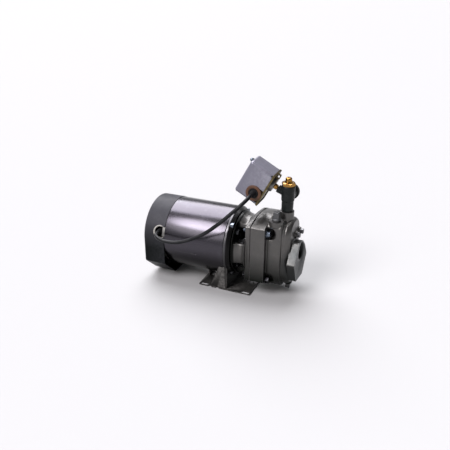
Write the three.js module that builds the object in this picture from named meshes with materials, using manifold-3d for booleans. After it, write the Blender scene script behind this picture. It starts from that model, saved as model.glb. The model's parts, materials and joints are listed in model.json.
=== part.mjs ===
// Shallow well jet pump: a capacitor-start motor, an open bracket, a cast iron jet casing and a pressure switch.
// Millimetres, +Z up. The origin is the centre of the underside of the foot plate.
// Stations are distances along the shaft (+X) from the rear rim of the motor shell.
import * as THREE from "three";
import { mergeVertices } from "three/addons/utils/BufferGeometryUtils.js";
import Module from "manifold-3d";

const wasm = await Module();
wasm.setup();

// ---- Driving dimensions ----
const shaftHeight = 105; // shaft axis above the floor
const footStation = 149; // station of the middle of the foot
const gap = 0.3; // clearance between touching pieces
const shellRadius = 84;
const shellWall = 3;
const shellLength = 152.3;
const rimEnd = 167; // station of the pump side of the front end bell
const bracketEnd = 211; // station of the joint between bracket and casing
const casingStart = 212; // the gasket is one millimetre thick
const flangeEnd = 246; // front of the casing's bolting flange
const bodyEnd = 281;
const towerStart = 283;
const towerEnd = 297;
const portFace = 315; // face of the suction boss
const coverDepth = 55.5; // length of the motor's end cover
const flangeHalfWidth = 64;
const flangeTopCorner = 69.5; // height of the flange's upper corners above the shaft
const flangeLowCorner = 65; // depth of its lower corners below the shaft
const flangeRise = 15; // rise of its curved top and bottom
const throughBoltRadius = 77.5;
const throughBoltAngle = 50.5; // degrees above and below the horizontal
const casingBoltY = 50;
const upperBoltZ = 55;
const lowerBoltZ = -62;
// Corners (y, z) of the suction boss: a tilted hexagon whose far upper corner is cut off.
const noseCorners = [
  [-53.7, -12.4],
  [-22, 31.3],
  [12, 26],
  [33, 6],
  [53, -26],
  [22, -67],
  [-32, -62],
];
const portZ = 4; // suction port, a little above the shaft
const dischargeStation = 276;
const teeCentreZ = 135.5;
const primingStation = 262.5;
const primingY = -34;
const padTop = 84.5;
const bossTop = 98;
const switchStation = 227.7; // middle of the switch base
const switchZ = 148;
const switchTilt = THREE.MathUtils.degToRad(-61.5);
const stemOffset = 12.2; // pressure stem from the middle of the switch base
const cordRadius = 4.3;

// ---- Finishes ----
const finish = (color, roughness, metalness) =>
  new THREE.MeshStandardMaterial({ color, roughness, metalness });
const enamel = finish(0x8f8b94, 0.35, 0.5);
const ringEnamel = finish(0xa8a6a8, 0.4, 0.5);
const blackPlastic = finish(0x1c1f22, 0.5, 0);
const castIron = finish(0x55534f, 0.6, 0.4);
const steel = finish(0x9aa0a8, 0.35, 0.9);
const zinc = finish(0x8c98a8, 0.35, 0.9);
const brass = finish(0xc79a4b, 0.3, 0.9);
const blackIron = finish(0x1e2424, 0.5, 0.5);
const copper = finish(0xa4562f, 0.45, 0.6);
const coverPaint = finish(0x8a8a98, 0.4, 0.4);
const rubber = finish(0x151515, 0.8, 0);
const ceramic = finish(0xe8e4da, 0.4, 0);
const fibre = finish(0x5f3a26, 0.6, 0);
const plastic = finish(0xd9d4c4, 0.5, 0);
const footPaint = finish(0x2c2b29, 0.55, 0.4);
const aluminium = finish(0xb5b8bc, 0.4, 0.8);
const chromate = finish(0x8c7a3c, 0.4, 0.8);

// ---- Solids ----
// A geometry as a closed solid with its faces pointing out.
function solid(geometry) {
  const bare = geometry.index ? geometry.toNonIndexed() : geometry.clone();
  bare.deleteAttribute("normal");
  bare.deleteAttribute("uv");
  const merged = mergeVertices(bare, 1e-3);
  const index = merged.index.array;
  const kept = [];
  for (let i = 0; i < index.length; i += 3) {
    const [a, b, c] = [index[i], index[i + 1], index[i + 2]];
    if (a !== b && b !== c && c !== a) kept.push(a, b, c);
  }
  const build = (triangles) =>
    new wasm.Manifold(
      new wasm.Mesh({
        numProp: 3,
        vertProperties: merged.attributes.position.array,
        triVerts: new Uint32Array(triangles),
      }),
    );
  const made = build(kept);
  if (made.volume() > 0) return made;
  return build(kept.reverse());
}

// A solid as a flat-shaded geometry.
function geometryOf(manifold) {
  const mesh = manifold.getMesh();
  const geometry = new THREE.BufferGeometry();
  geometry.setAttribute("position", new THREE.BufferAttribute(mesh.vertProperties, 3));
  geometry.setIndex(new THREE.BufferAttribute(mesh.triVerts, 1));
  const flat = geometry.toNonIndexed();
  flat.computeVertexNormals();
  return flat;
}

const join = (...pieces) => pieces.reduce((sum, piece) => sum.add(piece));
const cut = (base, ...tools) => tools.reduce((rest, tool) => rest.subtract(tool), base);

// Round bar along the shaft between two stations, centred on y, z.
function bar(start, end, radius, y = 0, z = 0, sides = 24, endRadius = radius) {
  const geometry = new THREE.CylinderGeometry(endRadius, radius, end - start, sides);
  geometry.rotateZ(-Math.PI / 2);
  geometry.translate((start + end) / 2, y, z);
  return solid(geometry);
}

// Round bar standing up between two heights.
function post(bottom, top, radius, x, y = 0, sides = 24, topRadius = radius) {
  const geometry = new THREE.CylinderGeometry(topRadius, radius, top - bottom, sides);
  geometry.rotateX(Math.PI / 2);
  geometry.translate(x, y, (bottom + top) / 2);
  return solid(geometry);
}

// Round bar across the machine between two y values; endRadius is the radius at the second one.
function cross(start, end, radius, x, z, sides = 24, endRadius = radius) {
  const geometry = new THREE.CylinderGeometry(endRadius, radius, end - start, sides);
  geometry.translate(x, (start + end) / 2, z);
  return solid(geometry);
}

function box(x0, x1, y0, y1, z0, z1) {
  const geometry = new THREE.BoxGeometry(x1 - x0, y1 - y0, z1 - z0);
  geometry.translate((x0 + x1) / 2, (y0 + y1) / 2, (z0 + z1) / 2);
  return solid(geometry);
}

// Body turned about the shaft: points are [radius, station] and close on themselves.
function turned(points, sides = 32) {
  const profile = points.map(([radius, station]) => new THREE.Vector2(radius, station));
  profile.push(profile[0].clone());
  const geometry = new THREE.LatheGeometry(profile, sides);
  geometry.rotateZ(-Math.PI / 2);
  return solid(geometry);
}

const ring = (start, end, inner, outer, sides = 24) =>
  turned([[inner, start], [outer, start], [outer, end], [inner, end]], sides);

// A shape drawn in the y-z plane, extruded along the shaft.
function slab(shape, start, end, curveSegments = 12) {
  const settings = { depth: end - start, bevelEnabled: false, curveSegments };
  const geometry = new THREE.ExtrudeGeometry(shape, settings);
  const axes = new THREE.Matrix4().makeBasis(
    new THREE.Vector3(0, 1, 0),
    new THREE.Vector3(0, 0, 1),
    new THREE.Vector3(1, 0, 0),
  );
  geometry.applyMatrix4(axes);
  geometry.translate(start, 0, 0);
  return solid(geometry);
}

// A shape drawn in the x-y plane, extruded upwards.
function plate(shape, bottom, top, curveSegments = 4) {
  const settings = { depth: top - bottom, bevelEnabled: false, curveSegments };
  const geometry = new THREE.ExtrudeGeometry(shape, settings);
  geometry.translate(0, 0, bottom);
  return solid(geometry);
}

// Rectangle with rounded corners, as a shape.
function roundedRectangle(x0, x1, y0, y1, radius) {
  const shape = new THREE.Shape();
  shape.moveTo(x0 + radius, y0);
  shape.lineTo(x1 - radius, y0);
  shape.absarc(x1 - radius, y0 + radius, radius, -Math.PI / 2, 0);
  shape.lineTo(x1, y1 - radius);
  shape.absarc(x1 - radius, y1 - radius, radius, 0, Math.PI / 2);
  shape.lineTo(x0 + radius, y1);
  shape.absarc(x0 + radius, y1 - radius, radius, Math.PI / 2, Math.PI);
  shape.lineTo(x0, y0 + radius);
  shape.absarc(x0 + radius, y0 + radius, radius, Math.PI, 1.5 * Math.PI);
  return shape;
}

// ---- The model tree ----
const pump = new THREE.Group();
const shaftFrame = new THREE.Group();
shaftFrame.position.set(-footStation, 0, shaftHeight);
pump.add(shaftFrame);
const switchFrame = new THREE.Group();
switchFrame.position.set(switchStation, 0, switchZ);
switchFrame.rotation.y = switchTilt;
shaftFrame.add(switchFrame);

function add(name, manifold, material, frame = shaftFrame) {
  const mesh = new THREE.Mesh(geometryOf(manifold), material);
  mesh.name = name;
  frame.add(mesh);
}

// ---- Bolt positions ----
const quadrants = [
  [-1, 1],
  [1, 1],
  [1, -1],
  [-1, -1],
];
const throughBolts = quadrants.map(([side, up]) => {
  const angle = THREE.MathUtils.degToRad(throughBoltAngle);
  return [side * throughBoltRadius * Math.cos(angle), up * throughBoltRadius * Math.sin(angle)];
});
const casingBolts = quadrants.map(([side, up]) => [
  side * casingBoltY,
  up > 0 ? upperBoltZ : lowerBoltZ,
]);
const drilled = (body, places, start, end, radius) =>
  cut(body, ...places.map(([y, z]) => bar(start, end, radius, y, z, 8)));

// ---- Motor ----
function motorShell() {
  add("motor_shell", ring(0, shellLength, shellRadius - shellWall, shellRadius, 56), enamel);
}

// Outline of the end cover's section: round on top, straight sides, sloping in to a flat bottom.
function coverOutline(radius, side, bottom, halfFlat) {
  const shape = new THREE.Shape();
  shape.moveTo(radius, 0);
  shape.absarc(0, 0, radius, 0, Math.PI);
  shape.lineTo(-radius, side);
  shape.lineTo(-halfFlat, bottom);
  shape.lineTo(halfFlat, bottom);
  shape.lineTo(radius, side);
  return shape;
}

const cordExitStation = -15;
const cordExitZ = 25;

function motorEndCover() {
  const wall = 2.4;
  const outerRadius = shellRadius + 0.6;
  const bottom = -104;
  const rise = 9;
  const slope = Math.atan2(rise, coverDepth);
  const wedge = (lift) => {
    const geometry = new THREE.BoxGeometry(160, 200, 40);
    geometry.translate(-80, 0, -20);
    geometry.rotateY(slope);
    geometry.translate(0, 0, bottom + lift);
    return solid(geometry);
  };
  const outer = slab(coverOutline(outerRadius, -58, bottom, 32), -coverDepth, -gap, 28);
  const hollow = slab(
    coverOutline(outerRadius - wall, -57, bottom + wall, 31),
    -coverDepth + wall,
    5,
    28,
  );
  const shell = cut(cut(outer, wedge(0)), cut(hollow, wedge(wall)));
  const notchRadius = 12.5;
  const notch = join(
    cross(-100, -60, notchRadius, cordExitStation + 2, cordExitZ, 24),
    box(cordExitStation + 2, 5, -100, -60, cordExitZ - notchRadius, cordExitZ + notchRadius),
  );
  const screwHoles = [-62, 62].map((y) => bar(-60, -50, 2.6, y, 0, 12));
  add("motor_end_cover", cut(shell, notch, ...screwHoles), blackPlastic);
  [-62, 62].forEach((y, i) => {
    const screw = join(
      bar(-coverDepth - 3, -coverDepth - gap, 4.5, y, 0, 16),
      bar(-coverDepth - gap, -8.5, 2.2, y, 0, 12),
    );
    add(`end_cover_screw_${i + 1}`, screw, zinc);
  });
}

const rearBearingStation = -24;
const frontBearingStation = 146;
const bearingWidth = 12;
const bearingOuter = 17.5;

function rearEndBell() {
  const body = turned([
    [10, -30],
    [24, -30],
    [24, -8],
    [81.4, -8],
    [81.4, -gap],
    [10, -gap],
  ]);
  const seat = bar(rearBearingStation - gap, 5, bearingOuter + gap, 0, 0, 32);
  add("rear_end_bell", drilled(cut(body, seat), throughBolts, -20, 5, 2.7), aluminium);
}

function frontEndBell() {
  const body = turned([
    [10, 138],
    [24, 138],
    [24, 152.6],
    [84.5, 152.6],
    [84.5, rimEnd],
    [74, rimEnd],
    [74, 160],
    [10, 160],
  ], 48);
  const seat = bar(130, frontBearingStation + bearingWidth + gap, bearingOuter + gap);
  const pockets = throughBolts.map(([y, z]) =>
    join(bar(159, rimEnd + 1, 7.6, y, z, 20), bar(159, rimEnd + 1, 7.6, y * 1.1, z * 1.1, 20)),
  );
  const pocketed = cut(body, seat, ...pockets);
  add("front_end_bell", drilled(pocketed, throughBolts, 150, 168, 2.7), ringEnamel);
}

function throughBoltSet() {
  throughBolts.forEach(([y, z], i) => {
    const head = bar(159.3, 166.3, 6.4, y, z, 6);
    const shank = bar(-12, 159.5, 2.4, y, z, 10);
    add(`through_bolt_${i + 1}`, join(head, shank), zinc);
  });
}

// Laminated core with open slots towards the rotor.
function statorCore() {
  const slots = 24;
  const bore = 46;
  const slotDepth = 14;
  const outline = new THREE.Shape();
  outline.absarc(0, 0, 80.6, 0, 2 * Math.PI);
  const inner = new THREE.Path();
  const pitch = (2 * Math.PI) / slots;
  for (let i = 0; i < slots; i++) {
    const start = i * pitch;
    const edges = [
      [bore, 0.1],
      [bore + slotDepth, 0.2],
      [bore + slotDepth, 0.8],
      [bore, 0.9],
    ];
    edges.forEach(([radius, part]) => {
      const angle = start + part * pitch;
      const [y, z] = [radius * Math.cos(angle), radius * Math.sin(angle)];
      if (i === 0 && part === 0.1) inner.moveTo(y, z);
      else inner.lineTo(y, z);
    });
  }
  outline.holes.push(inner);
  const core = slab(outline, 35, 110, 16);
  add("stator_core", drilled(core, throughBolts, 30, 115, 3.2), steel);
}

// Rounded end turns of the winding on each side of the core.
function windings() {
  const endTurn = (start, end) =>
    turned(
      [
        [52, start],
        [70, start],
        [73, start + 5],
        [73, end - 5],
        [70, end],
        [52, end],
        [49.5, end - 5],
        [49.5, start + 5],
      ],
      24,
    );
  add("winding_rear", endTurn(12, 34.7), copper);
  add("winding_front", endTurn(110.3, 134), copper);
}

function rotorParts() {
  const shaftSteps = [
    [0, -33],
    [7.5, -33],
    [7.5, 6],
    [9, 6],
    [9, 145.7],
    [8.5, 145.7],
    [8.5, 160],
    [8, 160],
    [8, 228],
    [0, 228],
  ];
  const profile = shaftSteps.map(([radius, station]) => new THREE.Vector2(radius, station));
  const geometry = new THREE.LatheGeometry(profile, 20);
  geometry.rotateZ(-Math.PI / 2);
  const slot = box(-40, -30, -1, 1, -10, 10);
  add("motor_shaft", cut(solid(geometry), slot), steel);
  add("rotor_core", ring(34, 111, 9 + gap, 45.4, 32), steel);
  const hub = ring(114, 126, 9 + gap, 15, 20);
  const disc = ring(114, 116, 14, 44);
  const blades = Array.from({ length: 8 }, (_, i) => {
    const geometry = new THREE.BoxGeometry(11, 2, 30);
    geometry.translate(120.5, 0, 28.5);
    geometry.rotateX((i * Math.PI) / 4);
    return solid(geometry);
  });
  add("cooling_fan", join(hub, disc, ...blades), blackPlastic);
  const actuator = turned([
    [9 + gap, 14],
    [24, 14],
    [24, 17],
    [16, 19],
    [14, 30],
    [9 + gap, 30],
  ], 20);
  add("centrifugal_actuator", actuator, blackPlastic);
}

// Each sealed ball bearing is one ring between its seat and the shaft.
function bearings() {
  const sizes = [
    ["rear", rearBearingStation, 7.5],
    ["front", frontBearingStation, 8.5],
  ];
  sizes.forEach(([name, station, seat]) => {
    const race = ring(station, station + bearingWidth, seat + gap, bearingOuter);
    add(`${name}_bearing`, race, steel);
  });
}

function motorElectrics() {
  const board = cut(
    box(-24, -21, -26, 34, 30, 62),
    bar(-30, -10, 2, -16, 46, 10),
    bar(-30, -10, 2, 24, 46, 10),
  );
  add("terminal_board", board, plastic);
  const can = cross(-42, 38, 16, -30, -76, 32);
  const posts = [-5, 5].map((z) => cross(37, 46, 2.5, -30, -76 + z, 10));
  add("start_capacitor", join(can, ...posts), blackPlastic);
  const grip = join(
    cross(-68, -62, 5.2, cordExitStation, cordExitZ, 20, 6.5),
    cross(-81, -68, 5.2, cordExitStation, cordExitZ, 20),
    cross(-62, -58, 6.5, cordExitStation, cordExitZ, 20),
  );
  add("motor_cord_grip", grip, rubber);
}

// ---- Bracket between motor and casing ----
// Section of the bolting flange: upright sides, curved top and bottom.
function flangeShape() {
  const radius = (flangeHalfWidth ** 2 + flangeRise ** 2) / (2 * flangeRise);
  const topCentre = flangeTopCorner + flangeRise - radius;
  const lowCentre = radius - flangeLowCorner - flangeRise;
  const spread = Math.asin(flangeHalfWidth / radius);
  const shape = new THREE.Shape();
  shape.absarc(0, topCentre, radius, Math.PI / 2 - spread, Math.PI / 2 + spread);
  shape.absarc(0, lowCentre, radius, 1.5 * Math.PI - spread, 1.5 * Math.PI + spread);
  shape.closePath();
  return shape;
}

// Takes the crown off the flange's top, which swells from the bracket's roof up to the casing.
function crownCut() {
  const swellEnd = 236;
  const roofTop = 70;
  const rise = flangeTopCorner + flangeRise - roofTop;
  const shape = new THREE.Shape();
  shape.absellipse(swellEnd, roofTop, 40, rise, 0.95 * Math.PI, Math.PI / 2, true);
  shape.lineTo(swellEnd, 130);
  shape.lineTo(190, 130);
  shape.lineTo(190, roofTop);
  const geometry = new THREE.ExtrudeGeometry(shape, {
    depth: 200,
    bevelEnabled: false,
    curveSegments: 6,
  });
  geometry.rotateX(Math.PI / 2);
  geometry.translate(0, 100, 0);
  return solid(geometry);
}

function pumpBracket() {
  const roof = turned([
    [30, 160.3],
    [70.6, 160.3],
    [70.6, 167.4],
    [76, 167.4],
    [75, 173],
    [71, 182],
    [70, 191],
    [73, 197],
    [77, 201],
    [12, 201],
    [12, 196],
    [34, 196],
    [56, 188],
    [56, 171],
    [30, 171],
  ]);
  const windows = quadrants.map(([side, up]) => {
    const [y0, y1] = side > 0 ? [34, 90] : [-90, -34];
    const [z0, z1] = up > 0 ? [24, 90] : [-90, -24];
    return box(171, 199.5, y0, y1, z0, z1);
  });
  const flange = cut(slab(flangeShape(), 200, bracketEnd, 8), crownCut());
  const body = cut(join(cut(roof, ...windows), flange), bar(190, 215, 13), bar(206, 215, 17));
  const screwHoles = drilled(body, bracketScrews, 155, 175, 4.4);
  add("pump_bracket", drilled(screwHoles, casingBolts, 195, 215, 4.5), castIron);
}

const bracketScrews = quadrants.map(([side, up]) => [side * 42, up * 42]);

function bracketScrewSet() {
  bracketScrews.forEach(([y, z], i) => {
    const screw = join(bar(171.3, 177, 7, y, z, 6), bar(160.6, 171.4, 4, y, z, 10));
    add(`bracket_screw_${i + 1}`, screw, zinc);
  });
}

function waterSlinger() {
  const slinger = turned([[8 + gap, 178], [11, 178], [16, 181], [16, 183], [11, 186], [8 + gap, 186]], 20);
  add("water_slinger", slinger, rubber);
}

// ---- Pump casing and the parts in it ----
const chamberRadius = 61.5;

function casingGasket() {
  const sheet = slab(flangeShape(), bracketEnd + gap / 2, casingStart - gap / 2, 8);
  const opened = cut(sheet, bar(205, 215, chamberRadius, 0, 0, 28), crownCut());
  add("casing_gasket", drilled(opened, casingBolts, 205, 215, 4.5), fibre);
}

// Upright rounded section of the casing in front of the flange.
function bodyShape(halfWidth, top, bottom, topRadius, bottomRadius) {
  const shape = new THREE.Shape();
  shape.moveTo(-halfWidth + bottomRadius, bottom);
  shape.lineTo(halfWidth - bottomRadius, bottom);
  shape.absarc(halfWidth - bottomRadius, bottom + bottomRadius, bottomRadius, -Math.PI / 2, 0);
  shape.lineTo(halfWidth, top - topRadius);
  shape.absarc(halfWidth - topRadius, top - topRadius, topRadius, 0, Math.PI / 2);
  shape.lineTo(-halfWidth + topRadius, top);
  shape.absarc(-halfWidth + topRadius, top - topRadius, topRadius, Math.PI / 2, Math.PI);
  shape.lineTo(-halfWidth, bottom + bottomRadius);
  shape.absarc(-halfWidth + bottomRadius, bottom + bottomRadius, bottomRadius, Math.PI, 1.5 * Math.PI);
  return shape;
}

const gaugeTaps = [
  [32, 39],
  [5, 40],
];
const drainStation = 288;

function pumpCasing() {
  const flange = cut(slab(flangeShape(), casingStart, flangeEnd, 8), crownCut());
  const scallops = casingBolts.map(([y, z]) => bar(flangeEnd, 273, 14, y * 1.04, z, 20));
  const volute = cut(
    slab(bodyShape(50, 79, -87, 22, 42), flangeEnd - 1, bodyEnd - 1, 6),
    ...scallops,
  );
  const groove = slab(bodyShape(45, 76, -79, 20, 40), bodyEnd - 2, towerStart + 1, 6);
  const tower = slab(bodyShape(44, 78, -81, 22, 40), towerStart, towerEnd, 6);
  const noseShape = new THREE.Shape(noseCorners.map(([y, z]) => new THREE.Vector2(y, z)));
  const nose = slab(noseShape, towerEnd - 1, portFace);
  const boss = post(70, bossTop, 16.5, dischargeStation, 0, 24);
  const pad = post(72, padTop, 17, primingStation, primingY, 24);
  const taps = gaugeTaps.map(([y, z]) => bar(towerEnd - 5, 301, 9, y, z, 20));
  const drainBoss = post(-86, -70, 10, drainStation, 0, 20);
  const outside = join(flange, volute, groove, tower, nose, boss, pad, drainBoss, ...taps);
  const cavities = [
    bar(casingStart - 1, 240, chamberRadius, 0, 0, 28),
    bar(230, 290, 38, 0, -4, 24),
    bar(285, portFace + 1, 20.5, 0, portZ, 28),
    post(20, bossTop + 1, 11.5, dischargeStation, 0, 20),
    post(10, padTop + 1, 9, primingStation, primingY, 16),
    post(-90, -30, 5, drainStation, 0, 16),
    ...gaugeTaps.map(([y, z]) => bar(292, 305, 4.5, y, z, 16)),
  ];
  const hollow = cut(outside, ...cavities);
  add("pump_casing", drilled(hollow, casingBolts, 205, 250, 4.5), castIron);
}

function casingBoltSet() {
  casingBolts.forEach(([y, z], i) => {
    const bolt = join(
      bar(flangeEnd + gap, flangeEnd + 1.8, 8, y, z, 14),
      bar(flangeEnd + 1.7, flangeEnd + 8, 7.3, y, z, 6),
      bar(191, flangeEnd + 1, 4, y, z, 8),
    );
    add(`casing_bolt_${i + 1}`, bolt, zinc);
  });
}

function impeller() {
  const backStation = 216;
  const hub = ring(213, 227, 8 + gap, 13, 20);
  const back = ring(backStation, backStation + 2.5, 12, 57, 28);
  const front = ring(backStation + 9, backStation + 11.5, 20, 57, 28);
  const vanes = Array.from({ length: 6 }, (_, i) => {
    const geometry = new THREE.BoxGeometry(8, 2.5, 36);
    geometry.rotateX(0.6);
    geometry.translate(backStation + 5.5, 4, 37);
    geometry.rotateX((i * Math.PI) / 3);
    return solid(geometry);
  });
  add("impeller", join(hub, back, front, ...vanes), plastic);
}

function jetParts() {
  const vanes = Array.from({ length: 8 }, (_, i) => {
    const geometry = new THREE.BoxGeometry(5, 2.5, 18);
    geometry.rotateX(0.7);
    geometry.translate(232.5, 0, 46);
    geometry.rotateX((i * Math.PI) / 4);
    return solid(geometry);
  });
  add("diffuser", join(ring(234.5, 238, 16, 60, 28), ...vanes), plastic);
  const venturi = turned(
    [
      [12, 232],
      [15.7, 232],
      [15.7, 240],
      [12, 246],
      [9, 266],
      [11, 274],
      [8, 274],
      [5, 266],
      [10, 240],
    ],
    20,
  );
  add("venturi_tube", venturi, plastic);
  const nozzle = turned([[3, 276], [6, 276], [11, 288], [7, 288]], 16);
  add("jet_nozzle", nozzle, brass);
}

function shaftSeal() {
  add("seal_seat", ring(206.3, 209, 9, 16.7), ceramic);
  const head = turned([[8 + gap, 209.3], [12, 209.3], [12, 212.7], [8 + gap, 212.7]], 20);
  add("seal_head", head, rubber);
}

// Pipe plug standing up, with a square head.
function uprightPlug(seat, depth, radius, headWidth, headHeight, x, y, direction = 1) {
  const span = (near, far) => [Math.min(near, far), Math.max(near, far)];
  const at = (offset) => seat + direction * offset;
  const shank = post(...span(at(-depth), at(0.5)), radius, x, y, 20);
  const collar = post(...span(at(gap), at(5)), radius + 1.5, x, y, 20);
  const half = headWidth / 2;
  const head = box(x - half, x + half, y - half, y + half, ...span(at(4), at(headHeight)));
  return join(shank, collar, head);
}

function plugs() {
  const priming = uprightPlug(padTop, 14, 8.6, 13.5, 21, primingStation, primingY);
  add("priming_plug", priming, castIron);
  const drain = uprightPlug(-86, 8, 4.6, 10, 12.5, drainStation, 0, -1);
  add("drain_plug", drain, castIron);
  gaugeTaps.forEach(([y, z], i) => {
    const plug = join(bar(294, 301.5, 4.1, y, z, 14), bar(301.3, 309, 6.6, y, z, 6));
    add(`gauge_plug_${i + 1}`, plug, castIron);
  });
}

// ---- Discharge fittings ----
// Moves a solid built along +Z from the origin so that it runs along the switch axis from the tee.
function alongSwitchAxis(geometry) {
  geometry.rotateX(Math.PI / 2);
  geometry.rotateY(switchTilt);
  geometry.translate(dischargeStation, 0, teeCentreZ);
  return solid(geometry);
}

const sideBranch = (start, end, radius, sides = 16) => {
  const geometry = new THREE.CylinderGeometry(radius, radius, end - start, sides);
  geometry.translate(0, (start + end) / 2, 0);
  return alongSwitchAxis(geometry);
};

function dischargeTee() {
  const x = dischargeStation;
  const outside = join(
    post(86, 110, 11.2, x, 0, 20),
    post(100, 150, 12.4, x, 0, 20),
    post(106, 116, 14.6, x, 0, 20),
    post(142, 153, 15.8, x, 0, 20),
    post(124, 146, 14.5, x, 0, 20),
    cross(0, 24, 14.5, x, teeCentreZ, 20),
    cross(23, 33, 18.5, x, teeCentreZ, 24),
    sideBranch(0, 27.5, 8.4),
  );
  const bores = [
    post(80, 160, 9.3, x, 0, 16),
    cross(0, 40, 13, x, teeCentreZ, 20),
    sideBranch(0, 30, 5.3, 16),
  ];
  add("discharge_tee", cut(outside, ...bores), blackIron);
  const bushing = cut(
    join(post(153.3, 166, 15.4, x, 0, 6), post(146, 153.5, 9, x, 0, 24)),
    post(140, 170, 5.2, x, 0, 16),
  );
  add("brass_bushing", bushing, brass);
  const dome = join(
    post(158, 166.5, 4.9, x, 0, 16),
    post(166.3, 173, 6.4, x, 0, 20),
    post(172.9, 177.5, 6.4, x, 0, 20, 4),
  );
  add("brass_plug", cut(dome, box(x - 10, x + 10, -1, 1, 174, 180)), brass);
}

// ---- Pressure switch, in its own frame: x along the base, z up through the cover ----
const baseHalfDepth = 26;
const conduitX = -20.4;
const conduitZ = 17;

function switchBase() {
  const tray = cut(
    box(-44, 42.5, -baseHalfDepth, baseHalfDepth, -4.5, 0),
    box(-42, 40.5, -baseHalfDepth + 2, baseHalfDepth - 2, -6, -2),
  );
  const ears = [-1, 1].map((side) => {
    const [y0, y1] = side > 0 ? [21.5, 24] : [-24, -21.5];
    const ear = box(conduitX - 18, conduitX + 18, y0, y1, -1, 34);
    return cut(ear, cross(y0 - 1, y1 + 1, 11, conduitX, conduitZ, 24));
  });
  const tab = cut(box(30, 44, -2, 0.5, -13, -2), cross(-5, 5, 3, 37, -8, 16));
  const stem = new THREE.CylinderGeometry(8, 8, 20, 20);
  stem.rotateX(Math.PI / 2);
  stem.translate(stemOffset, 0, -2);
  const base = cut(join(tray, ...ears, tab), solid(stem));
  add("switch_base", base, chromate, switchFrame);
}

function diaphragmHousing() {
  const local = (bottom, top, radius, sides = 28) => post(bottom, top, radius, stemOffset, 0, sides);
  const housing = cut(join(local(-11.5, -2.3, 17), local(-3, 2, 7)), local(-15, -6, 5.3, 16));
  add("diaphragm_housing", housing, aluminium, switchFrame);
  const nipple = cut(
    join(local(-27, -6.3, 4.9, 16), local(-19, -12, 6.6, 6)),
    local(-30, 0, 2.5, 12),
  );
  add("switch_nipple", nipple, brass, switchFrame);
}

function switchCover() {
  const wall = 1.4;
  const outer = plate(roundedRectangle(-43.5, 42, -baseHalfDepth, baseHalfDepth, 6), gap, 59);
  const inner = plate(
    roundedRectangle(-43.5 + wall, 42 - wall, wall - baseHalfDepth, baseHalfDepth - wall, 5),
    -1,
    59 - wall,
  );
  const opening = join(
    cross(-40, 40, 17, conduitX, conduitZ, 24),
    box(conduitX - 17, conduitX + 17, -40, 40, -1, conduitZ),
  );
  const cover = cut(outer, inner, opening, post(50, 65, 2.6, studX, studY, 12));
  add("switch_cover", cover, coverPaint, switchFrame);
  const ringOuter = cross(-27.5, -24.3, 16.6, conduitX, conduitZ, 24);
  const ringInner = cross(-30, -20, 13.6, conduitX, conduitZ, 24);
  add("conduit_ring", cut(ringOuter, ringInner), fibre, switchFrame);
}

const studX = 31;
const studY = 4;

function switchWorks() {
  add("spring_stud", post(0.3, 63, 2, studX, studY, 12), steel, switchFrame);
  const nut = cut(
    join(post(59.3, 63.5, 5, studX, studY, 6), post(63.4, 68, 4.2, studX, studY, 16, 2)),
    post(50, 63.6, 2.3, studX, studY, 12),
  );
  add("switch_cover_nut", nut, zinc, switchFrame);
  const lever = cut(box(-8, 39, -11, 19, 8, 10), post(5, 15, 4, studX, studY, 16));
  add("contact_lever", lever, chromate, switchFrame);
  add("terminal_block", box(-40, -11, -13, 18, 0.3, 22), blackPlastic, switchFrame);
  add("range_spring", coilSpring(), steel, switchFrame);
  const grip = join(
    cross(-24, -18, 10.6, conduitX, conduitZ, 20),
    cross(-27, -24.3, 12.4, conduitX, conduitZ, 20),
    cross(-24.4, -23.9, 10.6, conduitX, conduitZ, 20),
    cross(-44, -26.9, 5.3, conduitX, conduitZ, 20, 8),
  );
  add("switch_cord_grip", grip, rubber, switchFrame);
}

function coilSpring() {
  const turns = 5;
  const steps = 40;
  const points = [];
  for (let i = 0; i <= steps; i++) {
    const angle = (i / steps) * turns * 2 * Math.PI;
    const height = 12 + (i / steps) * 36;
    points.push(
      new THREE.Vector3(studX + 7 * Math.cos(angle), studY + 7 * Math.sin(angle), height),
    );
  }
  const wire = new THREE.Shape();
  wire.absarc(0, 0, 1, 0, 2 * Math.PI);
  const extrudePath = new THREE.CatmullRomCurve3(points);
  const settings = { steps, curveSegments: 3, bevelEnabled: false, extrudePath };
  return solid(new THREE.ExtrudeGeometry(wire, settings));
}

// ---- Lead from the motor to the switch ----
const cordRoute = [
  [-15, -81.3, 25],
  [-15, -89, 24.9],
  [-12.5, -98, 24.3],
  [-5, -107, 23.5],
  [8, -113.5, 22.5],
  [26, -116, 22],
  [47, -116, 24],
  [70, -114, 30.5],
  [95, -110, 42],
  [118, -105, 55.5],
  [139, -99.5, 72.5],
  [157, -94, 89],
  [172, -87, 104],
  [184, -80, 116],
  [194, -71, 126.5],
  [200.5, -62, 134],
  [202.8, -53, 137.8],
  [203, -44.3, 138.2],
];

function switchCord() {
  const section = new THREE.Shape();
  section.absarc(0, 0, cordRadius, 0, 2 * Math.PI);
  const extrudePath = new THREE.CatmullRomCurve3(
    cordRoute.map(([x, y, z]) => new THREE.Vector3(x, y, z)),
  );
  const settings = { steps: 34, curveSegments: 4, bevelEnabled: false, extrudePath };
  add("switch_cord", solid(new THREE.ExtrudeGeometry(section, settings)), rubber);
}

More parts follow.
